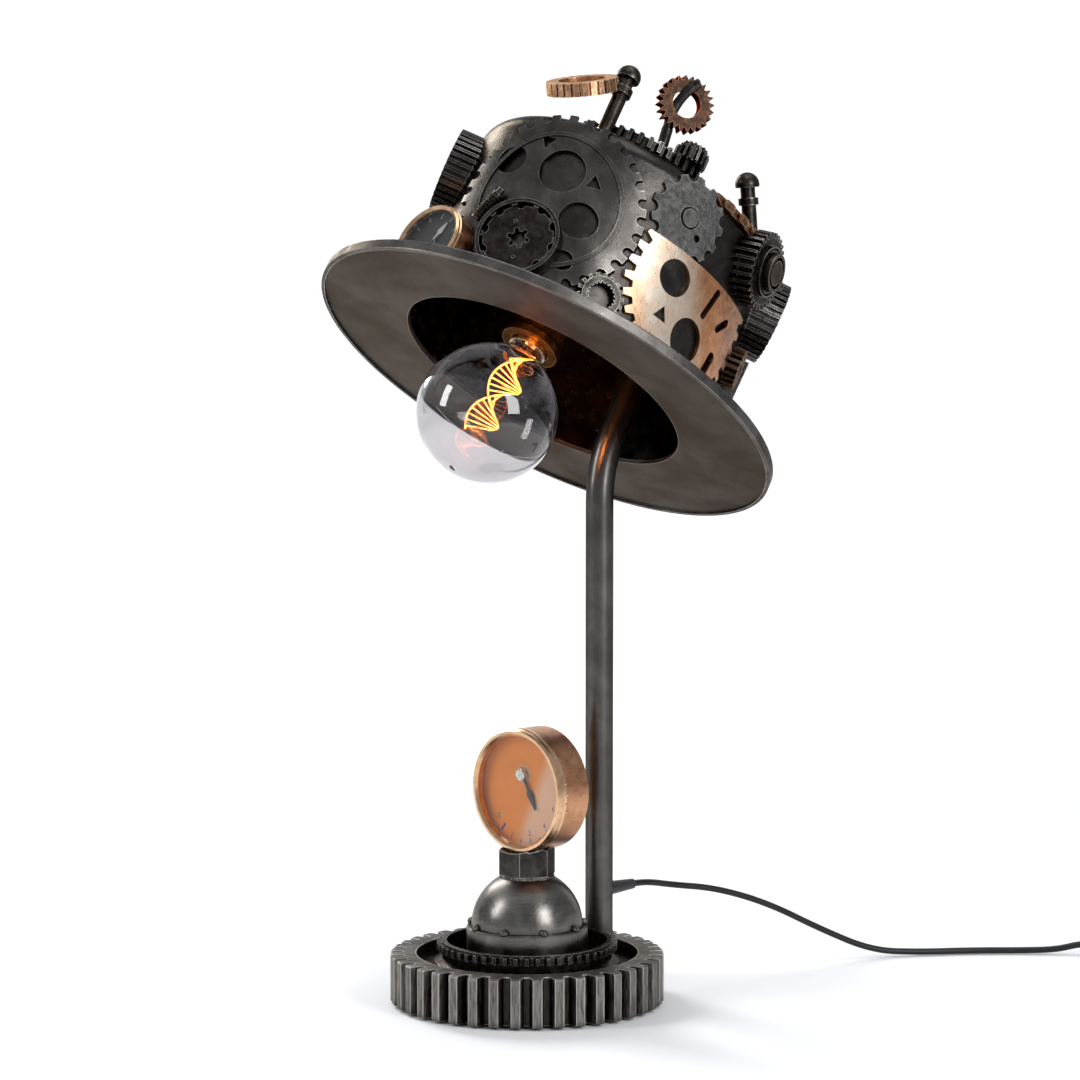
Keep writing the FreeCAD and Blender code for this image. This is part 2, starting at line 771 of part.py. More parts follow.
def holder_frame():
    """The lamp holder's axis: its origin is the middle of the globe and +Z points into the hat."""
    turn = FreeCAD.Rotation(Vector(1, 0, 0), -mm("bulb_tilt"))
    return FreeCAD.Placement(Vector(0, -mm("bulb_front"), mm("bulb_height")), turn)


def knuckle_point():
    """Where the holder's axis meets the arm, in the hat's frame, and how far up the axis that is."""
    frame = HAT.inverse().multiply(holder_frame())
    middle = frame.multVec(Vector(0, 0, 0))
    along = frame.multVec(Vector(0, 0, 1)) - middle
    reach = (mm("arm_height") - middle.z) / along.z
    return middle + along * reach, reach


def holder_arm(reached):
    """The tube from the stem to a round knuckle, and the nipple that the holder screws on."""
    knuckle, reach = knuckle_point()
    radius = mm("arm_diameter") / 2
    long = reached.y - knuckle.y
    start = Vector(0, knuckle.y, mm("arm_height"))
    tube = Part.makeCylinder(radius, long, start, Vector(0, 1, 0))
    stem_bar = Part.makeCylinder(mm("stem_outside") / 2, 400, Vector(0, reached.y, -100))
    spigot = Part.makeCylinder(radius, long, start, Vector(0, 1, 0))
    bore = Part.makeCylinder(mm("stem_outside") / 2 - mm("stem_wall"), 400, Vector(0, reached.y, -100))
    arm = tube.cut(stem_bar).fuse(spigot.cut(bore))
    arm = arm.fuse(Part.makeSphere(radius + 4, start))
    arm.Placement = HAT
    low = mm("holder_start") + mm("holder_length")
    nipple = cylinder(mm("nipple_diameter") / 2, low, reach)
    nipple.Placement = holder_frame()
    whole = arm.fuse(nipple)
    cable = Part.makeCylinder(mm("cable_diameter") / 2, long, start, Vector(0, 1, 0))
    cable.Placement = HAT
    down = cylinder(mm("cable_diameter") / 2, low, reach)
    down.Placement = holder_frame()
    shaped("holder_arm", one_solid(whole.cut(cable).cut(down)))


def inner_cable(reached):
    """The cable inside the stem, the arm and the nipple."""
    knuckle, reach = knuckle_point()
    height = mm("cable_height")
    radius = mm("cable_diameter") / 2
    start = Vector(0, mm("stem_back"), height)
    path, _ = stem_path(height)
    rise = swept(path, radius, start, Vector(0, 0, 1))
    above = Part.makeBox(60, 60, 200, Vector(-30, reached.y - 30, mm("arm_height") + radius))
    above.Placement = HAT
    rise = rise.cut(above)
    outlet = Part.makeCylinder(radius, mm("stem_outside") / 2 - mm("stem_wall"), start, Vector(0, 1, 0))
    bore = Part.makeCylinder(mm("stem_outside") / 2 - mm("stem_wall"), 60, Vector(0, mm("stem_back"), height - 30))
    outlet = outlet.common(bore)
    across = Part.makeCylinder(radius, reached.y - knuckle.y, Vector(0, knuckle.y, mm("arm_height")), Vector(0, 1, 0))
    across.Placement = HAT
    down = cylinder(radius, mm("holder_start") + mm("holder_length"), reach)
    down.Placement = holder_frame()
    shaped("inner_cable", one_solid(rise.fuse([outlet, across, down])))


# Hat


def hat_brim():
    """The flat brim with its oval hole, and the band round its edge."""
    thick = mm("brim_thickness")
    band = mm("band_thickness")
    length = mm("brim_length")
    width = mm("brim_width")
    shift = mm("brim_shift")
    plate = oval_solid(length - 2 * band, width - 2 * band, shift, 0, thick)
    hole = oval_solid(mm("hole_length"), mm("hole_width"), 0, -1, thick + 1)
    shaped("hat_brim", plate.cut(hole), HAT)
    low = (thick - mm("band_height")) / 2
    high = low + mm("band_height")
    outer = oval_solid(length, width, shift, low, high)
    outer = outer.makeFillet(band * 0.3, [edge for edge in outer.Edges if edge.isClosed()])
    inner = oval_solid(length - 2 * band, width - 2 * band, shift, low - 1, high + 1)
    shaped("brim_band", outer.cut(inner), HAT)


def closed_crown(wall, low):
    """The crown as a full solid, a wall's thickness inside its outside, its top edge rounded."""
    top = mm("crown_height") - wall
    full = crown_oval(-wall, low, top)
    rim = [edge for edge in full.Edges if edge.isClosed() and edge.BoundBox.ZMin > top - 0.1]
    return full.makeFillet(mm("cap_round") - wall, rim)


def hat_crown():
    """The crown: an oval wall welded and ground to the cap that closes it."""
    hollow = closed_crown(mm("crown_wall"), 0)
    shaped("hat_crown", closed_crown(0, mm("brim_thickness")).cut(hollow), HAT)


# What is welded on the crown


def clutch_outline():
    """The big plate's outline: semicircular spaces between its teeth, round holes and triangles."""
    radius = mm("clutch_outside") / 2
    plate = cylinder(radius, -DEEP, DEEP / 2)
    plate = plate.cut(tooth_gaps(radius, 32, 5.2, 6.6, -DEEP, DEEP))
    for x, y, hole in ((-36.0, 23.0, 10.5), (2.0, 22.0, 15.5), (25.0, -7.0, 12.8), (-14.0, -19.0, 10.0),
                       (26.0, -37.0, 7.0)):
        plate = plate.cut(Part.makeCylinder(hole, 2 * DEEP, Vector(x, y, -DEEP)))
    for x, y, turn in ((-16.0, 40.5, -90), (24.5, 21.0, 100)):
        plate = plate.cut(triangle(x, y, 6.0, turn, -DEEP, DEEP))
    return plate


def clutch_plate():
    skin = mm("plate_skin")
    radius = mm("clutch_outside") / 2
    plate = wrapped(clutch_outline(), CLUTCH_ANGLE, mm("clutch_height"), 0, skin)
    hoop = ring(radius * 0.79, radius * 0.745, -DEEP, DEEP / 2)
    ridge = wrapped(hoop, CLUTCH_ANGLE, mm("clutch_height"), 0, skin + RIDGE_HEIGHT)
    shaped("clutch_plate", one_solid(plate.fuse(ridge)), HAT)


def clutch_clearance():
    tool = cylinder(mm("clutch_outside") / 2 + PLATE_GAP, -DEEP, DEEP)
    return placed(tool, crown_place(CLUTCH_ANGLE, mm("clutch_height")))


def copper_clearance():
    """The room that the copper plate takes, up to its straight top edge."""
    tool = cylinder(mm("copper_outside") / 2 + PLATE_GAP, -DEEP, DEEP)
    flat = mm("copper_top") - mm("copper_height") + PLATE_GAP
    tool = tool.cut(Part.makeBox(200, 100, 4 * DEEP, Vector(-100, flat, -2 * DEEP)))
    return placed(tool, crown_place(COPPER_ANGLE, mm("copper_height")))


def over_plates(piece):
    """Cope a piece to the two large plates that it stands on."""
    low = mm("brim_thickness") - 10
    high = mm("crown_height") + 10
    skin = mm("plate_skin")
    piece = piece.cut(clutch_clearance().common(crown_skin(-1, skin + RIDGE_HEIGHT, low, high)))
    return piece.cut(copper_clearance().common(crown_skin(-1, skin, low, high)))


def copper_outline():
    """Half a gear plate with its own holes and slots, cut straight along the top."""
    radius = mm("copper_outside") / 2
    plate = toothed(radius, radius - 6.0, 32, -DEEP, DEEP / 2, 0.34, 0.6)
    flat = mm("copper_top") - mm("copper_height")
    plate = plate.cut(Part.makeBox(200, 100, 4 * DEEP, Vector(-100, flat, -2 * DEEP)))
    for x, y, hole in ((-27.0, 5.0, 12.5), (2.0, -25.0, 15.0)):
        plate = plate.cut(Part.makeCylinder(hole, 2 * DEEP, Vector(x, y, -DEEP)))
    plate = plate.cut(triangle(-26.0, -22.5, 6.5, 90, -DEEP, DEEP))
    for x, y, length, width, turn in ((10.0, 8.0, 26.0, 5.0, 76), (31.0, 4.0, 17.0, 5.5, 50), (33.0, -25.0, 20.0, 8.0, 80)):
        plate = plate.cut(slot(x, y, length, width, turn, -DEEP, DEEP))
    return plate


def copper_gear_plate():
    plate = wrapped(copper_outline(), COPPER_ANGLE, mm("copper_height"), 0, mm("plate_skin"))
    shaped("copper_gear_plate", one_solid(plate.cut(clutch_clearance())), HAT)


def sprocket_outline(radius, notches, bore):
    plate = cylinder(radius, -DEEP, DEEP / 2)
    plate = plate.cut(round_holes(radius, notches, radius * 0.145, -DEEP, DEEP))
    return plate.cut(cylinder(bore, -DEEP - 1, DEEP))


def small_sprocket():
    """The pale sprocket with its plugged bore and two small holes, and the plug."""
    height = mm("sprocket_height")
    radius = mm("sprocket_outside") / 2
    skin = mm("plate_skin")
    bore = 7.6
    plate = sprocket_outline(radius, 13, bore)
    for x, y in ((-11.0, 9.0), (11.0, -9.0)):
        plate = plate.cut(Part.makeCylinder(2.7, 2 * DEEP, Vector(x, y, -DEEP)))
    flat = mm("copper_top") - height + PLATE_GAP
    plate = plate.cut(Part.makeBox(200, 100, 4 * DEEP, Vector(-100, flat - 100, -2 * DEEP)))
    plate = wrapped(plate, SPROCKET_ANGLE, height, 0, skin - 0.3).cut(clutch_clearance())
    plug = wrapped(cylinder(bore - 1.3, -DEEP, DEEP / 2), SPROCKET_ANGLE, height, 0, skin + 0.4)
    solids = [one_solid(plate)] + plug.Solids
    shaped("small_sprocket", Part.makeCompound(solids), HAT)


def sprocket_clearance():
    tool = cylinder(mm("sprocket_outside") / 2 + PLATE_GAP, -DEEP, DEEP)
    return placed(tool, crown_place(SPROCKET_ANGLE, mm("sprocket_height")))


def dog_tooth_ring():
    radius = mm("dog_ring_outside") / 2
    body = cylinder(radius - 2.6, -12, 6.5)
    teeth = toothed(radius, radius - 3.2, 18, -12, 4.6, 0.42, 0.56)
    bore = toothed(radius * 0.62, radius * 0.54, 20, -13, 9, 0.4, 0.6)
    piece = standing(body.fuse(teeth).cut(bore), DOG_RING_ANGLE, mm("dog_ring_height"), 0)
    shaped("dog_tooth_ring", one_solid(over_plates(piece)), HAT)


def freewheel():
    """A ring with a notched gear inside it, star hole in the middle."""
    radius = mm("freewheel_outside") / 2
    height = mm("freewheel_height")
    skin = mm("plate_skin") + RIDGE_HEIGHT
    hoop = ring(radius, radius - 2.6, -14, skin + 6.5)
    for number in range(10):
        angle = math.radians(36 * number + 10)
        centre = Vector((radius - 3.2) * math.cos(angle), (radius - 3.2) * math.sin(angle), -14)
        hoop = hoop.fuse(Part.makeCylinder(1.9, skin + 19.5, centre))
    hoop = hoop.cut(cylinder(radius - 4.4, -15, 30))
    shaped("freewheel_ring", one_solid(standing(hoop, FREEWHEEL_ANGLE, height, skin)), HAT)
    gear = cylinder(radius - 4.5, -14, skin + 3.8)
    gear = gear.cut(round_holes(radius - 3.4, 10, 3.2, -15, 20))
    star = toothed(radius * 0.27, radius * 0.17, 6, -15, 20, 0.34, 0.62)
    gear = gear.cut(star)
    for x, y in ((-6.0, 10.5), (3.0, -14.0)):
        gear = gear.fuse(Part.makeCylinder(1.5, skin + 18.6, Vector(x, y, -14)))
    shaped("freewheel_gear", one_solid(standing(gear, FREEWHEEL_ANGLE, height, skin)), HAT)


def thread_stud():
    """A short coarse-threaded stud that lies across the plate above the freewheel."""
    stud = cylinder(3.4, 0, 22)
    for number in range(8):
        low = 2.0 + 2.3 * number
        stud = stud.fuse(Part.makeCone(3.4, 4.8, 0.9, Vector(0, 0, low)))
        stud = stud.fuse(Part.makeCone(4.8, 3.4, 0.9, Vector(0, 0, low + 0.9)))
    stud = stud.fuse(cylinder(2.4, 21, 26))
    stud.rotate(Vector(0, 0, 0), Vector(0, 1, 0), 90)
    stud.rotate(Vector(0, 0, 0), Vector(0, 0, 1), 67)
    stud.translate(Vector(-9.0, -18.5, mm("plate_skin") + 4.2))
    piece = standing(stud, 9.0, 72.0, mm("plate_skin"))
    shaped("thread_stud", one_solid(over_plates(piece)), HAT)


def timing_wheel(angle, height, lift):
    """A toothed belt wheel, flat on the crown, with its bore and three round windows."""
    radius = mm("wheel_outside") / 2
    width = mm("wheel_width")
    wheel = toothed(radius, radius - 2.0, int(mm("wheel_teeth")), -14, lift + width, 0.46, 0.6)
    wheel = wheel.cut(cylinder(radius - 5.5, lift + width - 3, lift + width + 1))
    wheel = wheel.cut(cylinder(5.0, -15, lift + width + 1))
    wheel = wheel.cut(round_holes(radius * 0.52, 3, 4.6, -15, lift + width + 1))
    return one_solid(standing(wheel, angle, height, 0))


WHEEL_PLACES = ((-38.0, 108.0, 2.0), (147.0, 118.0, 5.0), (-128.0, 62.0, 2.0))


def timing_wheels():
    wheels = [timing_wheel(angle, height, lift) for angle, height, lift in WHEEL_PLACES]
    shaped("timing_wheels", Part.makeCompound(wheels), HAT)


def side_gear():
    """The gear and hub that stand on the right of the crown, over the copper plate."""
    radius = mm("side_gear_outside") / 2
    height = mm("side_gear_height")
    skin = mm("plate_skin")
    gear = toothed(radius, radius - 3.6, 30, -14, skin + 7.5, 0.36, 0.6)
    hub_radius = 17.5
    gear = gear.cut(cylinder(hub_radius, -15, 30))
    shaped("side_gear", one_solid(over_plates(standing(gear, SIDE_GEAR_ANGLE, height, 0))), HAT)
    hub = cylinder(hub_radius, -14, skin + 10.5)
    hub = hub.fuse(cylinder(13.0, 0, skin + 15.0))
    hub = hub.cut(ring(11.0, 8.6, skin + 12.5, 40)).cut(ring(16.4, 14.8, skin + 9.0, 40))
    nub = Part.makeCylinder(3.2, 10.0, Vector(9.5, 0.5, skin + 11.2), Vector(1, 0, 0))
    hub = hub.fuse(nub)
    shaped("side_hub", one_solid(standing(hub, SIDE_GEAR_ANGLE, height, 0)), HAT)


def side_gear_clearance():
    tool = cylinder(mm("side_gear_outside") / 2 + PLATE_GAP, -DEEP, DEEP)
    return placed(tool, crown_place(SIDE_GEAR_ANGLE, mm("side_gear_height")))


def rust_pinion():
    pinion = toothed(14.0, 10.6, 18, -12, 9.0, 0.34, 0.6).cut(cylinder(4.2, -13, 14))
    shaped("rust_pinion", one_solid(over_plates(standing(pinion, 133.0, 66.0, 0))), HAT)


def back_blades():
    """Two scrap strips that stand edge-on on the crown, behind the small pinion."""
    solids = []
    for angle, height, long, wide, thick, lean in ((146.0, 66.0, 34.0, 12.0, 2.4, 14), (155.0, 48.0, 24.0, 10.0, 3.0, 20)):
        strip = Part.makeBox(thick, long, wide + 6, Vector(-thick / 2, -long / 2, -6))
        strip.rotate(Vector(0, 0, 0), Vector(0, 0, 1), lean)
        solids.append(one_solid(standing(strip, angle, height, 0)))
    shaped("back_blades", Part.makeCompound(solids), HAT)


def rear_plates():
    """Plates on the side and back that the front view doesn't show."""
    skin = mm("plate_skin")
    radius = 52.0
    plate = cylinder(radius, -DEEP, DEEP / 2)
    plate = plate.cut(round_holes(radius, 28, 3.4, -DEEP, DEEP))
    plate = plate.cut(round_holes(30.0, 5, 10.5, -DEEP, DEEP)).cut(cylinder(11.0, -DEEP - 1, DEEP))
    left = one_solid(wrapped(plate, -80.0, 84.0, 0, skin))
    blank = toothed(43.5, 39.0, 34, -DEEP, DEEP / 2, 0.36, 0.6)
    blank = blank.cut(round_holes(24.5, 6, 7.4, -DEEP, DEEP)).cut(cylinder(9.0, -DEEP - 1, DEEP))
    rear = one_solid(wrapped(blank, 193.4, 84.0, 0, skin))
    shaped("rear_plates", Part.makeCompound([left, rear]), HAT)


def hat_gauge():
    """The small gauge that stands on the brim against the crown's front."""
    radius = mm("hat_gauge_outside") / 2
    depth = mm("hat_gauge_depth")
    side = -mm("hat_gauge_side")
    half_width = mm("crown_width") / 2
    front = mm("crown_shift") - mm("crown_length") / 2 * math.sqrt(1 - (side / half_width) ** 2)
    local = facing_front(side, front, mm("brim_thickness") + radius)
    place = HAT.multiply(local)
    low = mm("brim_thickness") - 10
    high = mm("crown_height")
    thick = crown_skin(-1, mm("plate_skin") + RIDGE_HEIGHT, low, high)
    taken = crown_oval(0, low, high).fuse(clutch_clearance().common(thick))
    gauge("hat_gauge", place, placed(taken, local.inverse()))
    low = depth - mm("hat_gauge_bezel_depth") - 3.5
    top = low + 1.0
    card = cylinder(radius - 1.0 - mm("hat_gauge_wall"), low, top)
    gap = mm("running_gap")
    pin = mm("hat_gauge_pin") / 2
    needle = pointer(radius * 0.62, 4.0, 3.2, pin + gap, -24.0, top + 0.8, top + 1.5)
    shaped("hat_gauge_needle", needle, place)
    post = cylinder(pin, top - 2.5, top + 2.4).fuse(cylinder(2.6, top + 1.7, top + 2.6))
    shaped("hat_gauge_dial", one_solid(card.fuse([post, cylinder(4.0, top - 4.0, top - 1.0)])), place)


def top_gear():
    body = gear_body("top_gear", "size.top_gear_outside", "(size.top_gear_outside * 0.5)",
                     "size.top_gear_width", "size.top_gear_teeth", "4.4", "3.4")
    place = FreeCAD.Placement(Vector(29, -31, mm("crown_height")), FreeCAD.Rotation())
    node("top_flat_gear", body, HAT.multiply(place))
    pinion = toothed(12.0, 9.0, 16, 0, 9, 0.34, 0.6).fuse(toothed(9.5, 7.6, 16, 9, 12.5, 0.4, 0.6))
    pinion = pinion.cut(cylinder(3.5, -1, 30))
    spot = Vector(77.0, -30.0, mm("crown_height") + mm("top_gear_width"))
    shaped("pinion", one_solid(pinion), HAT.multiply(FreeCAD.Placement(spot, FreeCAD.Rotation())))


def dome_bolt(length):
    """A round-headed bolt that stands on its end."""
    shank = mm("bolt_shank") / 2
    head = mm("bolt_head") / 2
    bolt = cylinder(shank, 0, length)
    cap = Part.makeSphere(head, Vector(0, 0, length)).cut(Part.makeBox(60, 60, 40, Vector(-30, -30, length - 42)))
    cap = cap.common(cylinder(head, length - 3, length + head))
    return one_solid(bolt.fuse([cap, cylinder(shank + 1.8, length - 14, length - 9)]))


TOP_BOLT = (50.0, -85.0, 40.0)
BOLT_SINK = 8.0  # how far a bolt's shank reaches below the cap's top


def dome_head_bolts():
    """One bolt on the cap's front edge, parallel to the crown, and one upright at the side."""
    x, y, long = TOP_BOLT
    first = dome_bolt(long + BOLT_SINK)
    first.Placement = HAT.multiply(FreeCAD.Placement(Vector(x, y, mm("crown_height") - BOLT_SINK), FreeCAD.Rotation()))
    second = dome_bolt(52.0)
    foot = HAT.multVec(Vector(80.0, 57.0, mm("crown_height") - 1.6 * BOLT_SINK))
    lean = FreeCAD.Rotation(Vector(0, 0, 1), Vector(-0.05, -0.05, 0.98))
    second.Placement = FreeCAD.Placement(foot, lean)
    cap = placed(closed_crown(0, mm("brim_thickness")), HAT)
    bolts = [one_solid(first.cut(cap)), one_solid(second.cut(cap))]
    shaped("dome_head_bolts", Part.makeCompound(bolts))
    return bolts[0]


def copper_ring_gear(bolt):
    """The copper ring held under the head of the front bolt."""
    x, y, long = TOP_BOLT
    radius = mm("ring_outside") / 2
    hoop = toothed(radius, radius - 2.0, 26, 0, mm("ring_width"), 0.62, 0.8)
    hoop = hoop.cut(cylinder(radius * 0.66, -1, 40))
    centre = HAT.multVec(Vector(x, y, mm("crown_height") + long - 6.5))
    left = Vector(-0.7071, -0.7071, 0)
    reach = radius + mm("bolt_shank") / 2 - 1.0
    normal = Vector(0.05, -0.17, 0.985).normalize()
    turn = FreeCAD.Rotation(Vector(0, 0, 1), normal)
    spot = centre + left * reach - normal * (mm("ring_width") / 2)
    hoop.Placement = FreeCAD.Placement(spot, turn)
    shaped("copper_ring_gear", one_solid(hoop.cut(bolt)))


def hook():
    """A bent rod on the top gear, and the toothed ring that hangs on it."""
    radius = mm("hook_rod") / 2
    foot = Vector(60.0, -41.0, mm("crown_height") + mm("top_gear_width"))
    start = HAT.multVec(foot)
    right = Vector(0.7071, 0.7071, 0)
    near = Vector(0.7071, -0.7071, 0)
    up = Vector(0, 0, 1)
    first = start + up * 17 + right * 5
    second = start + up * 37 + right * 14
    third = start + up * 48 + right * 27
    lean = (first - start).normalize()
    arc = Part.Arc(first, second, third)
    edges = (Part.LineSegment(start, first).toShape(), arc.toShape())
    rod = Part.Wire([edges[1]]).makePipeShell(
        [Part.Wire(Part.Circle(first, arc.tangent(arc.FirstParameter)[0], radius).toShape())], True, False)
    base = Part.makeCylinder(radius + 0.6, (first - start).Length, start, lean)
    foot_disc = Part.makeCylinder(radius + 3, 3.0, foot)
    foot_disc.Placement = HAT.multiply(foot_disc.Placement)
    below = Part.makeBox(80, 80, 30, Vector(foot.x - 40, foot.y - 40, foot.z - 30))
    below.Placement = HAT
    ball = Part.makeSphere(radius + 0.6, first)
    piece = rod.fuse([base, foot_disc, ball]).cut(below)
    shaped("hook_rod", one_solid(piece))
    outer = mm("hook_ring_outside") / 2
    hoop = toothed(outer, outer - 3.2, 24, 0, 8.0, 0.12, 0.8).cut(cylinder(outer * 0.5, -1, 9))
    centre = start + up * 34 + right * 18
    facing = Vector(near.x * 0.93 + right.x * 0.30, near.y * 0.93 + right.y * 0.30, 0.2).normalize()
    hoop.Placement = FreeCAD.Placement(centre - facing * 8.0, FreeCAD.Rotation(Vector(0, 0, 1), facing))
    shaped("hook_ring_gear", one_solid(hoop.cut(piece)))


def copper_chain():
    """A stretch of roller chain along the cap's right edge, link after link."""
    links = []
    height = mm("crown_height") - 7.0
    for number in range(6):
        angle = 83.0 + 4.2 * number
        low = 0.0 if number % 2 == 0 else 1.6
        link = slot(0, 0, 11.6, 6.2, 0, -6, low + 1.6)
        pin = Part.makeCylinder(1.3, 10.0, Vector(4.0, 0, -6))
        links.append(placed(link.fuse(pin), crown_place(angle, height)))
    chain = links[0].fuse(links[1:]).cut(closed_crown(0, mm("brim_thickness")))
    chain = chain.cut(side_gear_clearance()).cut(sprocket_clearance())
    shaped("copper_chain", one_solid(chain), HAT)


# Lamp holder and bulb


def lamp_holder():
    frame = holder_frame()
    start = mm("holder_start")
    end = start + mm("holder_length")
    outer = mm("holder_outside") / 2
    bore = mm("holder_bore") / 2
    shell = cylinder(outer, start + 5, end).fuse(cylinder(outer + 1.4, start, start + 5))
    rim = [edge for edge in shell.Edges if edge.isClosed() and edge.BoundBox.ZMin > end - 0.1]
    shell = shell.makeFillet(5.0, rim)
    shell = shell.cut(cylinder(bore, start - 1, end - 4)).cut(cylinder(mm("nipple_diameter") / 2, end - 5, end + 1))
    shaped("holder_shell", one_solid(shell), frame)
    seat = mm("cap_start") + mm("cap_length") + 3.5
    core = cylinder(bore, seat + 1.0, end - 4).fuse(cylinder(4.0, seat, seat + 1.0))
    shaped("holder_contacts", core, frame)


def bulb():
    frame = holder_frame()
    radius = mm("bulb_diameter") / 2
    wall = mm("glass_thickness")
    cap = mm("cap_diameter") / 2
    start = mm("cap_start")
    end = start + mm("cap_length")
    shell = cylinder(cap, start, end).cut(cylinder(cap - 1.2, start - 1, end - 1.5))
    for number in range(5):
        low = start + 4.0 + 4.0 * number
        groove = Part.makeTorus(cap + 0.9, 1.5, Vector(0, 0, low))
        shell = shell.cut(groove)
    tip = Part.makeCone(cap - 4, 4.5, 3.2, Vector(0, 0, end))
    shaped("bulb_cap", one_solid(shell.fuse(tip)), frame)
    neck = cap - 1.2
    press = start + 12.0

    def half_outline(shrink, lowest):
        """The globe and neck from an angle near the lowest point up to the press, at a depth in the glass."""
        ball = radius - shrink
        throat = neck - shrink

        def on_ball(degrees):
            turn = math.radians(degrees)
            return Vector(ball * math.sin(turn), 0, ball * math.cos(turn))

        side = on_ball(33)
        middle = Vector((side.x + throat) / 2 - 1.8, 0, (side.z + start) / 2 - 2.0)
        shoulder = Vector(throat, 0, start - 0.6)
        return [
            Part.Arc(on_ball(lowest), on_ball(135), on_ball(90)),
            Part.Arc(on_ball(90), on_ball(60), side),
            Part.Arc(side, middle, shoulder),
            Part.LineSegment(shoulder, Vector(throat, 0, press - shrink))]

    low = filament(frame)
    bore = mm("exhaust_bore") / 2
    foot = 5.5
    mount = (
        (neck, press), (bore, press), (bore, low), (2.2, low), (foot, low + 16.0), (foot, press - wall),
        (neck - wall, press - wall))
    corners = [Vector(x, 0, z) for x, z in mount]
    tip = 2.6
    under = -math.sqrt(radius ** 2 - tip ** 2)
    nub = [Vector(tip, 0, under), Vector(1.6, 0, -radius - 1.6), Vector(0, 0, -radius - 1.6), Vector(0, 0, wall - radius)]
    lines = half_outline(0, 180 - math.degrees(math.asin(tip / radius))) + half_outline(wall, 180)
    for chain in (corners, nub):
        lines.extend(Part.LineSegment(here, there) for here, there in zip(chain, chain[1:]))
    outline = Part.Wire(Part.__sortEdges__([line.toShape() for line in lines]))
    shaped("bulb_glass", Part.Face(outline).revolve(Vector(0, 0, 0), Vector(0, 0, 1), 360), frame)


def filament(frame):
    """Two strands that wind once round each other, with rungs between them."""
    radius = mm("filament_width") / 2
    long = mm("filament_length")
    wire = mm("filament_wire") / 2
    low = mm("filament_top") - long
    pieces = []
    for strand in range(2):
        helix = Part.makeHelix(long, long, radius)
        circle = Part.Wire(Part.Circle(Vector(radius, 0, 0), Vector(0, radius, long / (2 * math.pi)), wire).toShape())
        bar = Part.Wire(helix).makePipeShell([circle], True, True)
        bar.rotate(Vector(0, 0, 0), Vector(0, 0, 1), 180 * strand)
        bar.translate(Vector(0, 0, low))
        pieces.append(bar)
    rungs = 20
    for number in range(rungs):
        share = (number + 0.5) / rungs
        angle = 2 * math.pi * share
        direction = Vector(math.cos(angle), math.sin(angle), 0)
        begin = Vector(0, 0, low + long * share) - direction * radius
        pieces.append(Part.makeCylinder(wire * 0.8, 2 * radius, begin, direction))
    bridge = Part.makeCylinder(wire, 2 * radius, Vector(-radius, 0, low + long), Vector(1, 0, 0))
    pieces.append(bridge)
    shaped("bulb_filament", one_solid(pieces[0].fuse(pieces[1:])), frame)
    return low + long + wire


# Lead, switch and plug


RUN_A = (
    (0.0, 103.5, 66.6),
    (0.0, 116.0, 66.6),
    (4.0, 140.0, 61.5),
    (16.0, 172.0, 56.5),
    (34.0, 207.0, 43.5),
    (54.0, 243.0, 22.0),
    (74.0, 276.0, 4.8),
    (95.0, 304.0, 2.75),
    (118.0, 335.0, 2.75),
    (143.0, 360.0, 2.75),
    (162.0, 377.0, 3.6),
    (176.0, 390.1, 8.5),
    (188.8, 402.1, 8.5),
)
SWITCH_WAY = Vector(16.0, 15.0, 0).normalize()


def rounded_path(points):
    """Straight runs joined by tangent arcs as large as their runs allow."""
    edges = []
    radii = []
    length = 0.0
    last = points[0]
    for before, corner, after in zip(points, points[1:], points[2:]):
        arriving = (corner - before).normalize()
        leaving = (after - corner).normalize()
        turn = arriving.getAngle(leaving)
        shorter = min((corner - before).Length, (after - corner).Length)
        trim = 0.45 * shorter
        radius = trim / math.tan(turn / 2)
        begin = corner - arriving * trim
        end = corner + leaving * trim
        bisector = (leaving - arriving).normalize()
        centre = corner + bisector * (radius / math.cos(turn / 2))
        middle = centre - bisector * radius
        edges.append(Part.LineSegment(last, begin).toShape())
        edges.append(Part.Arc(begin, middle, end).toShape())
        length += (begin - last).Length + radius * turn
        radii.append(radius)
        last = end
    edges.append(Part.LineSegment(last, points[-1]).toShape())
    length += (points[-1] - last).Length
    return Part.Wire(edges), length, radii


def lead_tube(name, points):
    path, length, radii = rounded_path(points)
    radius = mm("cable_diameter") / 2
    tube = swept(path, radius, points[0], points[1] - points[0])
    ratio = tube.Volume / (math.pi * radius * radius * length)
    print("%s: %.1f mm, radii %s, volume ratio %.4f" % (
        name, length, " ".join("%.0f" % value for value in radii), ratio))
    shaped(name, tube)
    return length


def switch_start():
    return Vector(*RUN_A[-1])


def switch_place():
    """The switch's own X runs along the lead, its origin on the table under its near end."""
    start = switch_start()
    across = Vector(-SWITCH_WAY.y, SWITCH_WAY.x, 0)
    return framed(Vector(start.x, start.y, 0), SWITCH_WAY, across, Vector(0, 0, 1))


def switch_end():
    return switch_start() + SWITCH_WAY * mm("switch_long")


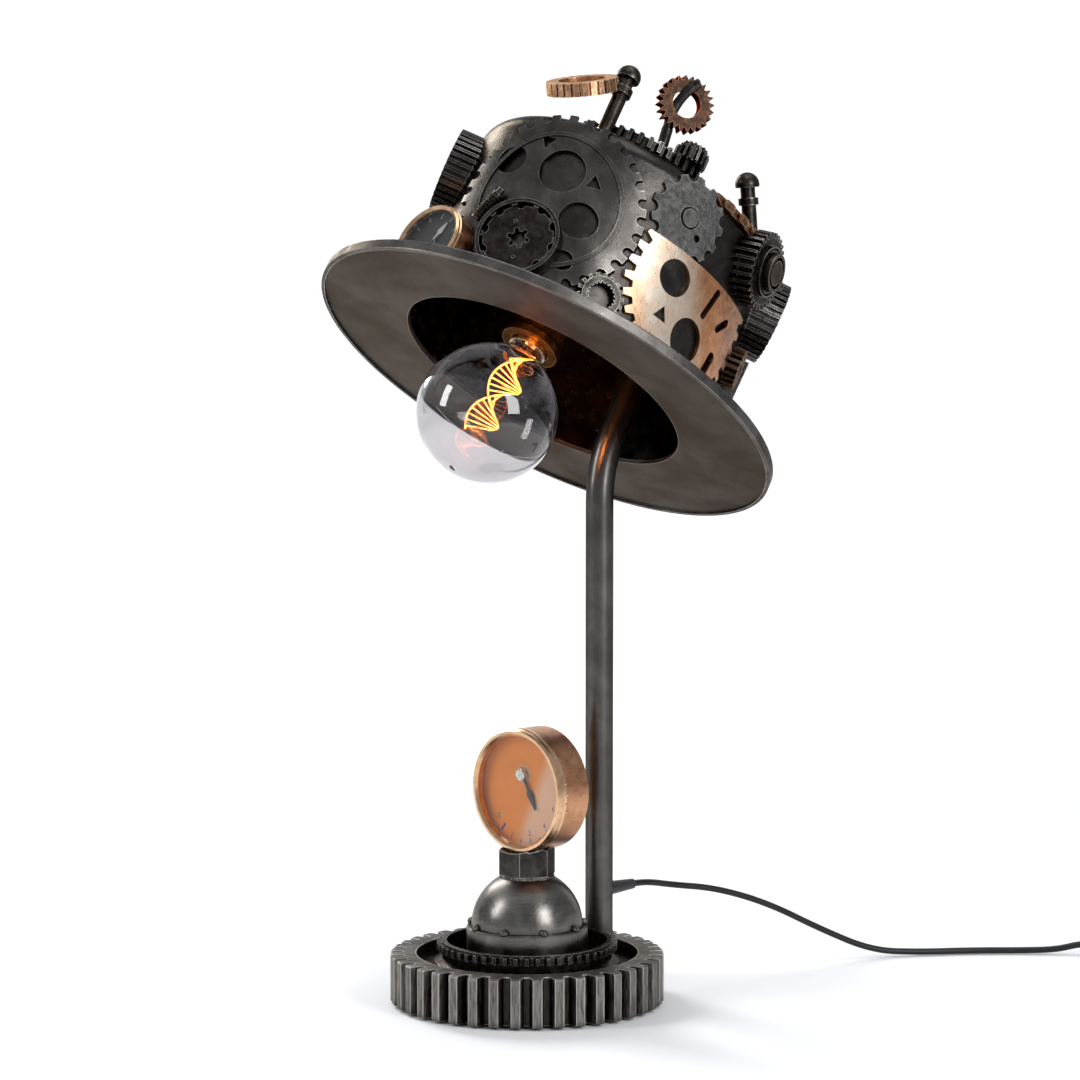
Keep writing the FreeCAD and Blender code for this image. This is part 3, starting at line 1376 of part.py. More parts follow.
def inline_switch():
    """A two-part housing, open at the top for its rocker."""
    place = switch_place()
    long = mm("switch_long")
    wide = mm("switch_wide")
    high = mm("switch_high")
    wall = mm("switch_wall")
    block = Part.makeBox(long, wide, high, Vector(0, -wide / 2, 0))
    upright = [edge for edge in block.Edges if edge.BoundBox.ZLength > high - 0.1]
    block = block.makeFillet(wide * 0.3, upright)
    block = block.makeFillet(1.6, [edge for edge in block.Edges if edge.BoundBox.ZMin > high - 0.1])
    seam = high * 0.5
    hollow = Part.makeBox(long - 2 * wide * 0.3, wide - 2 * wall, high - 2 * wall, Vector(wide * 0.3, -wide / 2 + wall, wall))
    window_long = mm("rocker_long") + 2.4
    window = Part.makeBox(window_long, mm("rocker_wide") + 0.6, high,
                          Vector(long / 2 - window_long / 2, -mm("rocker_wide") / 2 - 0.3, high - 2 * wall))
    lower = block.common(Part.makeBox(long, wide, seam, Vector(0, -wide / 2, 0))).cut(hollow)
    upper = block.cut(Part.makeBox(long, wide, seam, Vector(0, -wide / 2, 0))).cut(hollow).cut(window)
    pivot_height = high - 1.5 * wall
    pin_radius = 1.2
    gap = mm("running_gap")
    cheeks = []
    for side in (-1, 1):
        near = side * (mm("rocker_wide") / 2 + 0.3)
        cheek = Part.makeBox(8.0, 1.8, high - 2 * wall, Vector(long / 2 - 4.0, near if side > 0 else near - 1.8, wall))
        cheeks.append(cheek.common(Part.makeBox(long, wide, high, Vector(0, -wide / 2, seam))))
    upper = upper.fuse(cheeks)
    hole_long = mm("rocker_wide") + 2 * (0.3 + 1.8)
    hole = Part.makeCylinder(pin_radius + gap, hole_long, Vector(long / 2, -hole_long / 2, pivot_height), Vector(0, 1, 0))
    shaped("switch_base", one_solid(lower), place)
    shaped("switch_cover", one_solid(upper.cut(hole)), place)
    half = mm("rocker_long") / 2
    top = high + 1.2
    points = ((-half, high - 0.4), (-half, top + 1.4), (0, top - 0.4), (half, top - 0.4), (half, high - 0.4),
              (2.6, pivot_height - 2.6), (-2.6, pivot_height - 2.6))
    corners = [Vector(long / 2 + x, -mm("rocker_wide") / 2, z) for x, z in points]
    rocker = Part.Face(Part.makePolygon(corners + [corners[0]])).extrude(Vector(0, mm("rocker_wide"), 0))
    pin_long = hole_long - 0.6
    pin = Part.makeCylinder(pin_radius, pin_long, Vector(long / 2, -pin_long / 2, pivot_height), Vector(0, 1, 0))
    shaped("switch_rocker", one_solid(rocker.fuse(pin)), place)


COIL_WAY = Vector(0, 1, 0)


def coil_start():
    """Where the coil begins: past the switch, on the table, heading along +Y."""
    end = switch_end()
    return Vector(end.x + 19.0, end.y + 41.0, 2.75)


def run_b_points():
    end = switch_end()
    start = coil_start()
    return (
        end,
        end + SWITCH_WAY * 9.0,
        Vector(end.x + 14.5, end.y + 16.5, 4.2),
        Vector(end.x + 19.0, end.y + 30.0, 2.75),
        start)


def coil_centreline():
    """The loops: in to the middle on the table, up one layer, and out again above."""
    half_turns = int(mm("coil_half_turns"))
    inner = mm("coil_inner_radius")
    step = mm("coil_pitch") / 2
    lead = mm("cable_diameter")
    point = coil_start()
    way = COIL_WAY
    length = lead
    edges = [Part.LineSegment(point, point + way * lead).toShape()]
    samples = []
    point = point + way * lead

    def half_turn(start, heading, radius, climb):
        """Half a turn to the right: two quarter arcs, exact where it doesn't climb."""
        side = Vector(heading.y, -heading.x, 0)
        finish = start + side * (2 * radius) + Vector(0, 0, climb)
        chord = finish - start
        middle = (start + finish) / 2 + heading * (chord.Length / 2)
        arcs = []
        total = 0.0
        over = chord.normalize()
        for begin, end, first, last in ((start, middle, heading, over), (middle, finish, over, heading * -1)):
            centre = (begin + end) / 2 - (first - last).normalize() * ((end - begin).Length / 2)
            reach = (begin - centre).Length
            bulge = ((begin + end) / 2 - centre).normalize() * reach + centre
            arc = Part.Arc(begin, bulge, end)
            arcs.append(arc.toShape())
            total += arc.length()
        return finish, heading * -1, arcs, total

    radii = [inner + step * number for number in range(half_turns)]
    plan = [(radius, 0.0) for radius in reversed(radii)]
    climbing = inner + step - mm("coil_pitch") * 0.96
    plan.append((climbing, mm("coil_pitch")))
    plan.extend((radius, 0.0) for radius in radii)
    for radius, climb in plan:
        point, way, arcs, total = half_turn(point, way, radius, climb)
        edges.extend(arcs)
        length += total
    end = point + way * mm("coil_tail")
    edges.append(Part.LineSegment(point, end).toShape())
    length += mm("coil_tail")
    for edge in edges:
        samples.extend(edge.discretize(Distance=2.0)[:-1])
    return Part.Wire(edges), length, end, way, samples


def least_gap(samples, diameter):
    """The least clear distance between stretches of the coil that aren't neighbours along it."""
    least = 1e9
    skip = int(diameter * 3)
    for first in range(0, len(samples), 2):
        for second in range(first + skip, len(samples), 2):
            least = min(least, (samples[first] - samples[second]).Length)
    return least - diameter


def lead_coil():
    path, length, end, way, samples = coil_centreline()
    diameter = mm("cable_diameter")
    tube = swept(path, diameter / 2, coil_start(), COIL_WAY)
    ratio = tube.Volume / (math.pi * diameter * diameter / 4 * length)
    print("cord_coil: %.1f mm, gap to itself %.2f mm, volume ratio %.4f" % (
        length, least_gap(samples, diameter), ratio))
    shaped("cord_coil", tube)
    return length, end, way


def plug(end, way):
    """A flat two-pin plug in line with the coil's last stretch, with its tapered relief."""
    across = Vector(-way.y, way.x, 0)
    place = framed(Vector(end.x, end.y, 0), way, across, Vector(0, 0, 1))
    long = mm("plug_long")
    wide = mm("plug_wide")
    high = mm("plug_high")
    relief = mm("relief_length")
    axis = Vector(1, 0, 0)
    taper = Part.makeCone(mm("cable_diameter") / 2 + 0.9, 5.6, relief, Vector(0, 0, end.z), axis)
    outline = (
        Vector(relief, -7, 0),
        Vector(relief + 12, -wide / 2 + 3, 0),
        Vector(relief + long, -wide / 2 + 2, 0),
        Vector(relief + long, wide / 2 - 2, 0),
        Vector(relief + 12, wide / 2 - 3, 0),
        Vector(relief, 7, 0))
    block = Part.Face(Part.makePolygon(list(outline) + [outline[0]])).extrude(Vector(0, 0, high))
    block = block.makeFillet(2.0, block.Edges)
    shaped("plug_body", one_solid(block.fuse(taper)), place)
    pins = []
    for side in (-1, 1):
        root = Vector(relief + long, side * mm("pin_spacing") / 2, high / 2)
        pin = Part.makeCylinder(mm("pin_diameter") / 2, mm("pin_length") - 1.5, root, axis)
        nose = Part.makeCone(mm("pin_diameter") / 2, 1.0, 1.5, root + axis * (mm("pin_length") - 1.5), axis)
        pins.append(one_solid(pin.fuse(nose)))
    shaped("plug_pins", Part.makeCompound(pins), place)


def lead():
    first = [Vector(*point) for point in RUN_A]
    first[0] = Vector(0, mm("stem_back") + mm("stem_outside") / 2 + mm("relief_length"), mm("cable_height"))
    total = lead_tube("cord_run_a", first)
    inline_switch()
    total += mm("switch_long")
    total += lead_tube("cord_run_b", run_b_points())
    length, end, way = lead_coil()
    total += length
    plug(end, way)
    print("whole lead: %.0f mm" % total)


def build():
    base_felt()
    base_gear()
    base_plate()
    synchro_ring()
    dome()
    gauge_nut()
    weld_beads()
    main_gauge()
    reached = stem()
    strain_relief()
    holder_arm(reached)
    inner_cable(reached)
    hat_brim()
    hat_crown()
    clutch_plate()
    copper_gear_plate()
    small_sprocket()
    dog_tooth_ring()
    freewheel()
    thread_stud()
    timing_wheels()
    side_gear()
    rust_pinion()
    back_blades()
    rear_plates()
    hat_gauge()
    top_gear()
    front_bolt = dome_head_bolts()
    copper_ring_gear(front_bolt)
    hook()
    copper_chain()
    lamp_holder()
    bulb()
    lead()


def check_and_write():
    """Stop on any failed object, then write one file for each sub-part."""
    doc.recompute()
    failed = []
    for thing in doc.Objects:
        if "Invalid" in thing.State or "Error" in thing.State:
            failed.append(thing.Name)
    for piece in nodes:
        shape = piece.Shape
        if shape.isNull() or not shape.isValid() or not shape.Solids:
            failed.append(piece.Label)
    if failed:
        raise RuntimeError("failed: " + ", ".join(failed))
    os.makedirs("parts", exist_ok=True)
    for piece in nodes:
        piece.Shape.exportStep("parts/" + piece.Label + ".step")
    print("%d sub-parts" % len(nodes))


build()
check_and_write()
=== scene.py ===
import math

import bmesh
import bpy
from mathutils import Matrix, Vector


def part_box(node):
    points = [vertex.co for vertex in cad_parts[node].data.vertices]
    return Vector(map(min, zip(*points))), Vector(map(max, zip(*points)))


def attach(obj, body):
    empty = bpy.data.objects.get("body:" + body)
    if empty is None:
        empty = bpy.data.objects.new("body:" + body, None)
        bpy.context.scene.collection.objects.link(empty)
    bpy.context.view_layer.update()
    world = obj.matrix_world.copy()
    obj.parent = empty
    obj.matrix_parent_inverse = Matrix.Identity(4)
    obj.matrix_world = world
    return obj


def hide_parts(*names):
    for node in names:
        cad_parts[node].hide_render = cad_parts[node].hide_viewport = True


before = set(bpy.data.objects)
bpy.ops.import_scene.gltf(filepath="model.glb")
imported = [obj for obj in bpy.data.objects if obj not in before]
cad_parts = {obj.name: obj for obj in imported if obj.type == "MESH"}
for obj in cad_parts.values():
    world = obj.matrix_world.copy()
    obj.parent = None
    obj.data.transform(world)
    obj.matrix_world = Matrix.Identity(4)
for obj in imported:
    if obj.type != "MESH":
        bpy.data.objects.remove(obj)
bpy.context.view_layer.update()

# The looks of the gear-hat lamp, in metres. The lamp faces -Y, and the camera stands to its front left.

MM = 0.001
BODY = "lamp"
UP = Vector((0, 0, 1))
FORWARD = Vector((0, -1, 0))
CENTRE = (0, 0, 0)
HAT_TILT = math.radians(33.0)
CAMERA_HEADING = math.radians(45.0)


def middle(node):
    """The middle of a CAD node's box."""
    low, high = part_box(node)
    return (low + high) / 2


# Shader nodes

AO_SAMPLES = 6
MIX_FIRST = 6
MIX_SECOND = 7
MIX_COLOUR = 2


class Finish:
    """A material, with short ways to add shader nodes to it."""

    def __init__(self, name, metallic=1.0, rim=(1.0, 1.0, 1.0)):
        self.material = bpy.data.materials.new(name)
        self.material.use_nodes = True
        self.tree = self.material.node_tree
        self.shader = self.tree.nodes["Principled BSDF"]
        self.set("Metallic", metallic)
        self.set("Specular Tint", (*rim, 1.0))

    def set(self, name, value):
        self.shader.inputs[name].default_value = value

    def feed(self, socket, value):
        if isinstance(value, bpy.types.NodeSocket):
            self.tree.links.new(value, socket)
        else:
            socket.default_value = value

    def paint(self, socket, colour):
        """Give a colour socket another socket, or three numbers."""
        self.feed(socket, colour if isinstance(colour, bpy.types.NodeSocket) else (*colour, 1.0))

    def add(self, kind, settings=None, **inputs):
        node = self.tree.nodes.new("ShaderNode" + kind)
        for name, value in (settings or {}).items():
            setattr(node, name, value)
        for name, value in inputs.items():
            self.feed(node.inputs[name.replace("_", " ")], value)
        return node

    def vectors(self, operation, first, second=CENTRE):
        node = self.add("VectorMath", {"operation": operation})
        self.feed(node.inputs[0], first)
        node.inputs[1].default_value = second
        return node

    def place(self, turn=(0, 0, 0), stretch=(1, 1, 1), origin=CENTRE):
        """Coordinates on the piece, moved to an origin, turned and stretched."""
        away = self.vectors("SUBTRACT", self.add("TexCoord").outputs["Object"], origin)
        mapping = self.add("Mapping", Vector=away.outputs["Vector"])
        mapping.inputs["Rotation"].default_value = turn
        mapping.inputs["Scale"].default_value = stretch
        return mapping.outputs["Vector"]

    def height(self, axis=UP):
        """The distance along an axis through the lamp's origin."""
        return self.vectors("DOT_PRODUCT", self.place(), axis).outputs["Value"]

    def reach(self, axis=UP):
        """The distance out from an axis through the lamp's origin."""
        across = self.vectors("CROSS_PRODUCT", self.place(), axis)
        return self.vectors("LENGTH", across.outputs["Vector"]).outputs["Value"]

    def noise(self, place, size, detail=4.0, rough=0.6, warp=0.0):
        """Noise whose features are about this size, in metres."""
        node = self.add("TexNoise", Vector=place, Scale=1.0 / size, Detail=detail, Roughness=rough)
        node.inputs["Distortion"].default_value = warp
        return node.outputs["Fac"]

    def span(self, value, low, high, to_low=0.0, to_high=1.0):
        """The value from low to high, as to_low to to_high, with soft ends."""
        node = self.add("MapRange", {"interpolation_type": "SMOOTHSTEP"}, Value=value)
        limits = (("From Min", low), ("From Max", high), ("To Min", to_low), ("To Max", to_high))
        for name, limit in limits:
            node.inputs[name].default_value = limit
        return node.outputs["Result"]

    def maths(self, operation, first, second):
        node = self.add("Math", {"operation": operation})
        self.feed(node.inputs[0], first)
        self.feed(node.inputs[1], second)
        return node.outputs["Value"]

    def plus(self, first, second):
        return self.maths("ADD", first, second)

    def times(self, first, second):
        return self.maths("MULTIPLY", first, second)

    def mix(self, share, first, second):
        """The first colour, or the second where the share is 1."""
        node = self.add("Mix", {"data_type": "RGBA"})
        self.feed(node.inputs["Factor"], share)
        self.paint(node.inputs[MIX_FIRST], first)
        self.paint(node.inputs[MIX_SECOND], second)
        return node.outputs[MIX_COLOUR]

    def edges(self, distance):
        """1 on outer edges, 0 on flats."""
        inside = self.add("AmbientOcclusion", {"inside": True, "samples": AO_SAMPLES}, Distance=distance)
        return self.span(inside.outputs["AO"], 0.93, 0.70)

    def shade_in_hollows(self, distance):
        """1 deep in gaps and corners, 0 in the open: an occlusion mask for painted shade."""
        outside = self.add("AmbientOcclusion", {"samples": AO_SAMPLES}, Distance=distance)
        return self.span(outside.outputs["AO"], 0.80, 0.35)

    def bump(self, relief, depth):
        node = self.add("Bump", Height=relief, Distance=depth, Strength=1.0)
        self.feed(self.shader.inputs["Normal"], node.outputs["Normal"])

    def finish(self, colour, rough):
        self.paint(self.shader.inputs["Base Color"], colour)
        self.feed(self.shader.inputs["Roughness"], rough)
        return self.material


# Metals

WORN = (0.62, 0.60, 0.57)
RUST = (0.20, 0.075, 0.03)
# The near black colour of the painted shade in gaps and corners.
GAP_SHADE_COLOUR = (0.012, 0.010, 0.009)


def steel(name, dark, pale, worn=WORN, patch=0.03, grain=0.0006, rough=(0.28, 0.5), wear=0.0007, wear_share=1.0,
          shade_reach=0.0, rust=0.0, turn=(0, 0, 0), stretch=(1, 1, 1), relief=0.00004, rim=(0.55, 0.53, 0.50)):
    """Patinated steel: cloudy patches, fine grain, bright worn edges and painted shade in the gaps.

    Patch, grain, wear and the reach of the painted gap shade are sizes in metres. Turn and stretch draw the
    grain out along one way.
    """
    look = Finish(name, rim=rim)
    still = look.place()
    drawn = look.place(turn=turn, stretch=stretch)
    clouds = look.noise(still, patch, detail=5, warp=0.4)
    fine = look.noise(drawn, grain, detail=3)
    share = look.plus(look.span(clouds, 0.35, 0.68, 0.0, 0.7), look.span(fine, 0.3, 0.8, 0.0, 0.3))
    colour = look.mix(share, dark, pale)
    if rust:
        spots = look.noise(still, patch * 0.35, detail=8, rough=0.7)
        colour = look.mix(look.span(spots, 0.52, 0.66, 0.0, rust), colour, RUST)
    # Painted shade: gaps and corners darkened through an occlusion mask.
    if shade_reach:
        colour = look.mix(look.times(look.shade_in_hollows(shade_reach), 0.9), colour, GAP_SHADE_COLOUR)
    if wear:
        broken = look.span(look.noise(still, patch * 0.12, detail=4), 0.3, 0.62, 0.35, 1.0)
        colour = look.mix(look.times(look.edges(wear), look.times(broken, wear_share)), colour, worn)
    look.bump(look.plus(look.times(clouds, 2.0), fine), relief)
    gloss = look.span(look.noise(drawn, patch * 0.4, detail=6), 0.3, 0.75, *rough)
    return look.finish(colour, gloss)


def base_gear_steel():
    """Painted shade in the near black tooth gaps and along the foot, bright worn tips and rims, a grey face on
    top.
    """
    look = Finish("base_gear_steel", rim=(0.6, 0.57, 0.53))
    low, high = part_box("base_gear")
    outer = (high.x - low.x) / 2
    place = look.place()
    height = look.height()
    streaks = look.noise(look.place(stretch=(1, 1, 0.12)), 0.0016, detail=6)
    clouds = look.noise(place, 0.02, detail=6, warp=0.5)
    fine = look.noise(place, 0.0005, detail=3)
    speckle = look.span(look.noise(place, 0.0011, detail=4), 0.62, 0.72, 0.0, 0.6)
    # Painted shade: the tooth gaps and lower sides, near black.
    gap_shade_colour = look.mix(look.span(streaks, 0.3, 0.7), (0.018, 0.014, 0.012), (0.070, 0.058, 0.049))
    tip_colour = look.mix(look.span(streaks, 0.32, 0.66), (0.095, 0.086, 0.078), (0.27, 0.25, 0.23))
    face_colour = look.mix(look.span(clouds, 0.35, 0.7), (0.085, 0.079, 0.073), (0.21, 0.20, 0.188))
    colour = look.mix(look.span(look.reach(), outer - 0.0068, outer - 0.0012), gap_shade_colour, tip_colour)
    colour = look.mix(look.span(height, high.z - 0.0012, high.z - 0.0008), colour, face_colour)
    colour = look.mix(speckle, colour, (0.03, 0.025, 0.022))
    wear = look.times(look.edges(0.0009), look.span(clouds, 0.25, 0.6, 0.35, 0.9))
    colour = look.mix(wear, colour, (0.72, 0.70, 0.67))
    # Painted shade along the foot of the gear, darker towards the bottom.
    colour = look.mix(look.span(height, 0.0015, 0.006, 0.55, 0.0), colour, (0.02, 0.017, 0.015))
    look.bump(look.plus(streaks, look.times(fine, 0.6)), 0.00012)
    return look.finish(colour, look.span(streaks, 0.3, 0.7, 0.30, 0.52))


def dome_steel():
    """Spun steel: brush lines round the dome, heat-dark near the welds."""
    look = Finish("dome_steel", rim=(0.6, 0.58, 0.55))
    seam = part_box("dome_skirt")[1].z
    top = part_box("dome_shell")[1].z
    place = look.place()
    height = look.height()
    lines = look.noise(look.place(stretch=(0.06, 0.06, 1)), 0.0006, detail=5, rough=0.7)
    clouds = look.noise(place, 0.022, detail=5, warp=0.7)
    specks = look.span(look.noise(place, 0.0009, detail=3), 0.66, 0.74, 0.0, 0.4)
    above_seam = look.span(height, seam - 0.003, seam)
    below_shell = look.span(height, seam + 0.004, seam + 0.001)
    share = look.plus(look.span(lines, 0.3, 0.7, 0.0, 0.4), look.span(clouds, 0.3, 0.7, 0.0, 0.6))
    colour = look.mix(share, (0.105, 0.098, 0.091), (0.25, 0.238, 0.223))
    colour = look.mix(look.span(height, top - 0.012, top - 0.001, 0.0, 0.75), colour, (0.07, 0.06, 0.055))
    colour = look.mix(look.times(look.times(above_seam, below_shell), 0.5), colour, (0.06, 0.052, 0.047))
    colour = look.mix(specks, colour, (0.05, 0.045, 0.04))
    look.bump(look.plus(lines, look.times(clouds, 3.0)), 0.00005)
    return look.finish(colour, look.span(clouds, 0.3, 0.7, 0.25, 0.36))


def brushed(name, dark, pale, stain, rough, tone, stretch=(1, 1, 1)):
    """Brushed metal: fine lines drawn along one way, over slow changes of tone and stains."""
    look = Finish(name)
    lines = look.noise(look.place(stretch=stretch), 0.0005, detail=5, rough=0.7)
    clouds = look.noise(look.place(), tone, detail=4, warp=0.6)
    blots = look.noise(look.place(), tone * 0.7, detail=7, rough=0.65, warp=1.0)
    share = look.plus(look.span(lines, 0.3, 0.72, 0.0, 0.5), look.span(clouds, 0.32, 0.7, 0.0, 0.5))
    colour = look.mix(share, dark, pale)
    colour = look.mix(look.span(blots, 0.48, 0.72, 0.0, 0.6), colour, stain)
    polished = tuple(min(1.0, part * 1.3 + 0.05) for part in pale)
    colour = look.mix(look.times(look.edges(0.0008), 0.6), colour, polished)
    look.bump(lines, 0.00003)
    return look.finish(colour, look.span(lines, 0.3, 0.7, *rough))


def copper_with_painted_light():
    """Cream gold in front as a painted highlight, orange brown round the side, painted shade behind, browner
    again by the front teeth.
    """
    look = Finish("copper_with_painted_light")
    place = look.place()
    brush = look.noise(look.place(turn=(HAT_TILT, 0, 0), stretch=(1, 1, 0.2)), 0.0009, detail=6, rough=0.65)
    clouds = look.noise(place, 0.02, detail=5, warp=1.0)
    blotch = look.span(look.noise(place, 0.006, detail=7, rough=0.7, warp=0.6), 0.35, 0.7)
    parts = look.add("SeparateXYZ", Vector=place)
    back = look.plus(parts.outputs["Y"], look.times(clouds, 0.03))
    # Painted highlight: the cream gold over the front of the plate.
    gold = look.mix(look.span(clouds, 0.3, 0.7), (0.97, 0.72, 0.52), (0.99, 0.86, 0.71))
    copper = look.mix(blotch, (0.62, 0.29, 0.13), (0.42, 0.17, 0.07))
    # Painted shade: the dark brown where the plate turns away behind.
    brown = look.mix(blotch, (0.42, 0.19, 0.09), (0.16, 0.075, 0.04))
    colour = look.mix(look.span(back, 0.056, 0.084), gold, copper)
    colour = look.mix(look.span(back, 0.088, 0.118), colour, brown)
    colour = look.mix(look.span(back, 0.036, 0.018, 0.0, 0.8), colour, (0.72, 0.42, 0.23))
    colour = look.mix(look.span(brush, 0.3, 0.7, 0.0, 0.16), colour, (0.42, 0.22, 0.12))
    # Painted shade in the plate's gaps and corners, through an occlusion mask.
    colour = look.mix(look.times(look.shade_in_hollows(0.004), 0.7), colour, (0.09, 0.05, 0.03))
    look.bump(look.plus(brush, clouds), 0.00006)
    return look.finish(colour, look.span(brush, 0.3, 0.7, 0.24, 0.40))


# Other materials


def orange_card():
    """Saturated orange print that pales towards the lower right."""
    look = Finish("orange_card", metallic=0.0)
    place = look.place(origin=middle("gauge_dial"))
    parts = look.add("SeparateXYZ", Vector=place)
    slope = look.maths("SUBTRACT", look.times(parts.outputs["X"], 0.86), look.times(parts.outputs["Z"], 0.42))
    paper = look.noise(place, 0.0012, detail=4)
    orange = look.mix(look.span(paper, 0.3, 0.7), (0.93, 0.235, 0.008), (0.98, 0.30, 0.012))
    colour = look.mix(look.span(slope, 0.004, 0.016), orange, (0.97, 0.55, 0.33))
    look.set("Specular IOR Level", 0.4)
    return look.finish(colour, 0.45)


def dark_card():
    """A black card under a film of dust."""
    look = Finish("dark_card", metallic=0.0)
    dust = look.noise(look.place(), 0.0012, detail=6, rough=0.7)
    colour = look.mix(look.span(dust, 0.35, 0.75), (0.018, 0.018, 0.019), (0.075, 0.073, 0.07))
    return look.finish(colour, 0.4)


def glass(name, tint, index, rough):
    look = Finish(name, metallic=0.0)
    look.set("Transmission Weight", 1.0)
    look.set("IOR", index)
    return look.finish(tint, rough)


def glowing_wire():
    """Hot wire, orange with yellower patches."""
    look = Finish("glowing_wire", metallic=0.0)
    heat = look.noise(look.place(), 0.004, detail=3)
    colour = look.mix(look.span(heat, 0.3, 0.7), (1.0, 0.10, 0.008), (1.0, 0.42, 0.10))
    look.paint(look.shader.inputs["Emission Color"], colour)
    look.set("Emission Strength", 7.0)
    return look.finish((1.0, 0.45, 0.1), 0.5)


def moulded(name, colour, rough=0.42, grain=0.0006, relief=0.00004, specular=0.5):
    """Moulded plastic or rubber with a fine grain and handling marks."""
    look = Finish(name, metallic=0.0)
    place = look.place()
    grains = look.noise(place, grain, detail=3)
    marks = look.noise(place, 0.015, detail=6, warp=0.5)
    lighter = tuple(part * 1.6 + 0.01 for part in colour)
    tone = look.mix(look.span(marks, 0.4, 0.75, 0.0, 0.6), colour, lighter)
    look.set("Specular IOR Level", specular)
    look.bump(grains, relief)
    return look.finish(tone, look.span(marks, 0.3, 0.7, rough - 0.07, rough + 0.1))


def painted(name, colour):
    """Paint or print that has darkened in places."""
    look = Finish(name, metallic=0.0)
    wear = look.noise(look.place(), 0.003, detail=5)
    darker = tuple(part * 0.6 for part in colour)
    return look.finish(look.mix(look.span(wear, 0.45, 0.8, 0.0, 0.5), colour, darker), 0.4)


# What each CAD node is finished with


def structure_steels():
    """The stem, the holder's arm and the hat's own sheets."""
    return {
        "gun": steel("gunmetal", (0.040, 0.036, 0.033), (0.125, 0.115, 0.108), shade_reach=0.004),
        "stem": steel("stem_steel", (0.085, 0.079, 0.073), (0.155, 0.146, 0.136), rough=(0.27, 0.38), wear=0.0,
                      stretch=(1, 1, 0.05), relief=0.00003, rim=(0.35, 0.33, 0.31)),
        "brim": steel("brim_steel", (0.090, 0.080, 0.071), (0.145, 0.130, 0.117), (0.42, 0.40, 0.37), patch=0.05,
                      grain=0.0009, rough=(0.42, 0.54), wear=0.0008, wear_share=0.6, relief=0.00005,
                      rim=(0.32, 0.30, 0.28)),
        "band": steel("band_steel", (0.080, 0.073, 0.067), (0.19, 0.178, 0.166), (0.60, 0.58, 0.55), patch=0.02,
                      rough=(0.26, 0.42), wear_share=0.8, relief=0.00012, rim=(0.40, 0.38, 0.36)),
        "crown": steel("crown_steel", (0.030, 0.027, 0.025), (0.085, 0.078, 0.072), (0.40, 0.38, 0.36),
                       grain=0.0008, rough=(0.16, 0.34), wear_share=0.4, shade_reach=0.003, relief=0.00012),
        "clutch": steel("clutch_steel", (0.062, 0.056, 0.051), (0.150, 0.139, 0.129), (0.60, 0.58, 0.55),
                        patch=0.025, grain=0.0008, rough=(0.20, 0.34), wear_share=0.3, shade_reach=0.003,
                        turn=(HAT_TILT, 0, 0), stretch=(1, 1, 0.3), relief=0.00005)}


def gear_steels():
    """The dark small wheels, bolts and teeth."""
    return {
        "black": steel("black_steel", (0.020, 0.018, 0.017), (0.075, 0.068, 0.062), (0.46, 0.44, 0.41),
                       patch=0.012, rough=(0.25, 0.5), shade_reach=0.003, relief=0.00008),
        "oily": steel("oily_gear", (0.022, 0.019, 0.017), (0.070, 0.062, 0.055), (0.36, 0.33, 0.30), patch=0.008,
                      rough=(0.20, 0.42), shade_reach=0.003, rust=0.25, relief=0.0001),
        "rusty": steel("rusty_steel", (0.045, 0.028, 0.020), (0.12, 0.075, 0.050), (0.42, 0.26, 0.17),
                       patch=0.008, rough=(0.35, 0.6), shade_reach=0.003, rust=0.9, relief=0.00012),
        "sprocket": steel("pale_sprocket", (0.060, 0.058, 0.056), (0.185, 0.180, 0.174), (0.46, 0.45, 0.43),
                          patch=0.004, grain=0.0009, rough=(0.28, 0.46), wear_share=0.5, shade_reach=0.0025,
                          relief=0.0006),
        "teeth": steel("bright_teeth", (0.024, 0.021, 0.019), (0.090, 0.082, 0.076), (0.58, 0.56, 0.53),
                       patch=0.010, rough=(0.22, 0.42), wear=0.0006, wear_share=0.6, shade_reach=0.0025,
                       relief=0.00008),
        "dogs": steel("dog_ring_steel", (0.020, 0.018, 0.016), (0.075, 0.068, 0.062), (0.55, 0.53, 0.50),
                      patch=0.008, rough=(0.24, 0.44), wear=0.0005, wear_share=0.6, shade_reach=0.003, relief=0.00012),
        "weld": steel("weld_metal", (0.05, 0.044, 0.04), (0.22, 0.20, 0.18), patch=0.003, grain=0.0008,
                      rough=(0.18, 0.4), wear=0.0, shade_reach=0.002, relief=0.0005)}


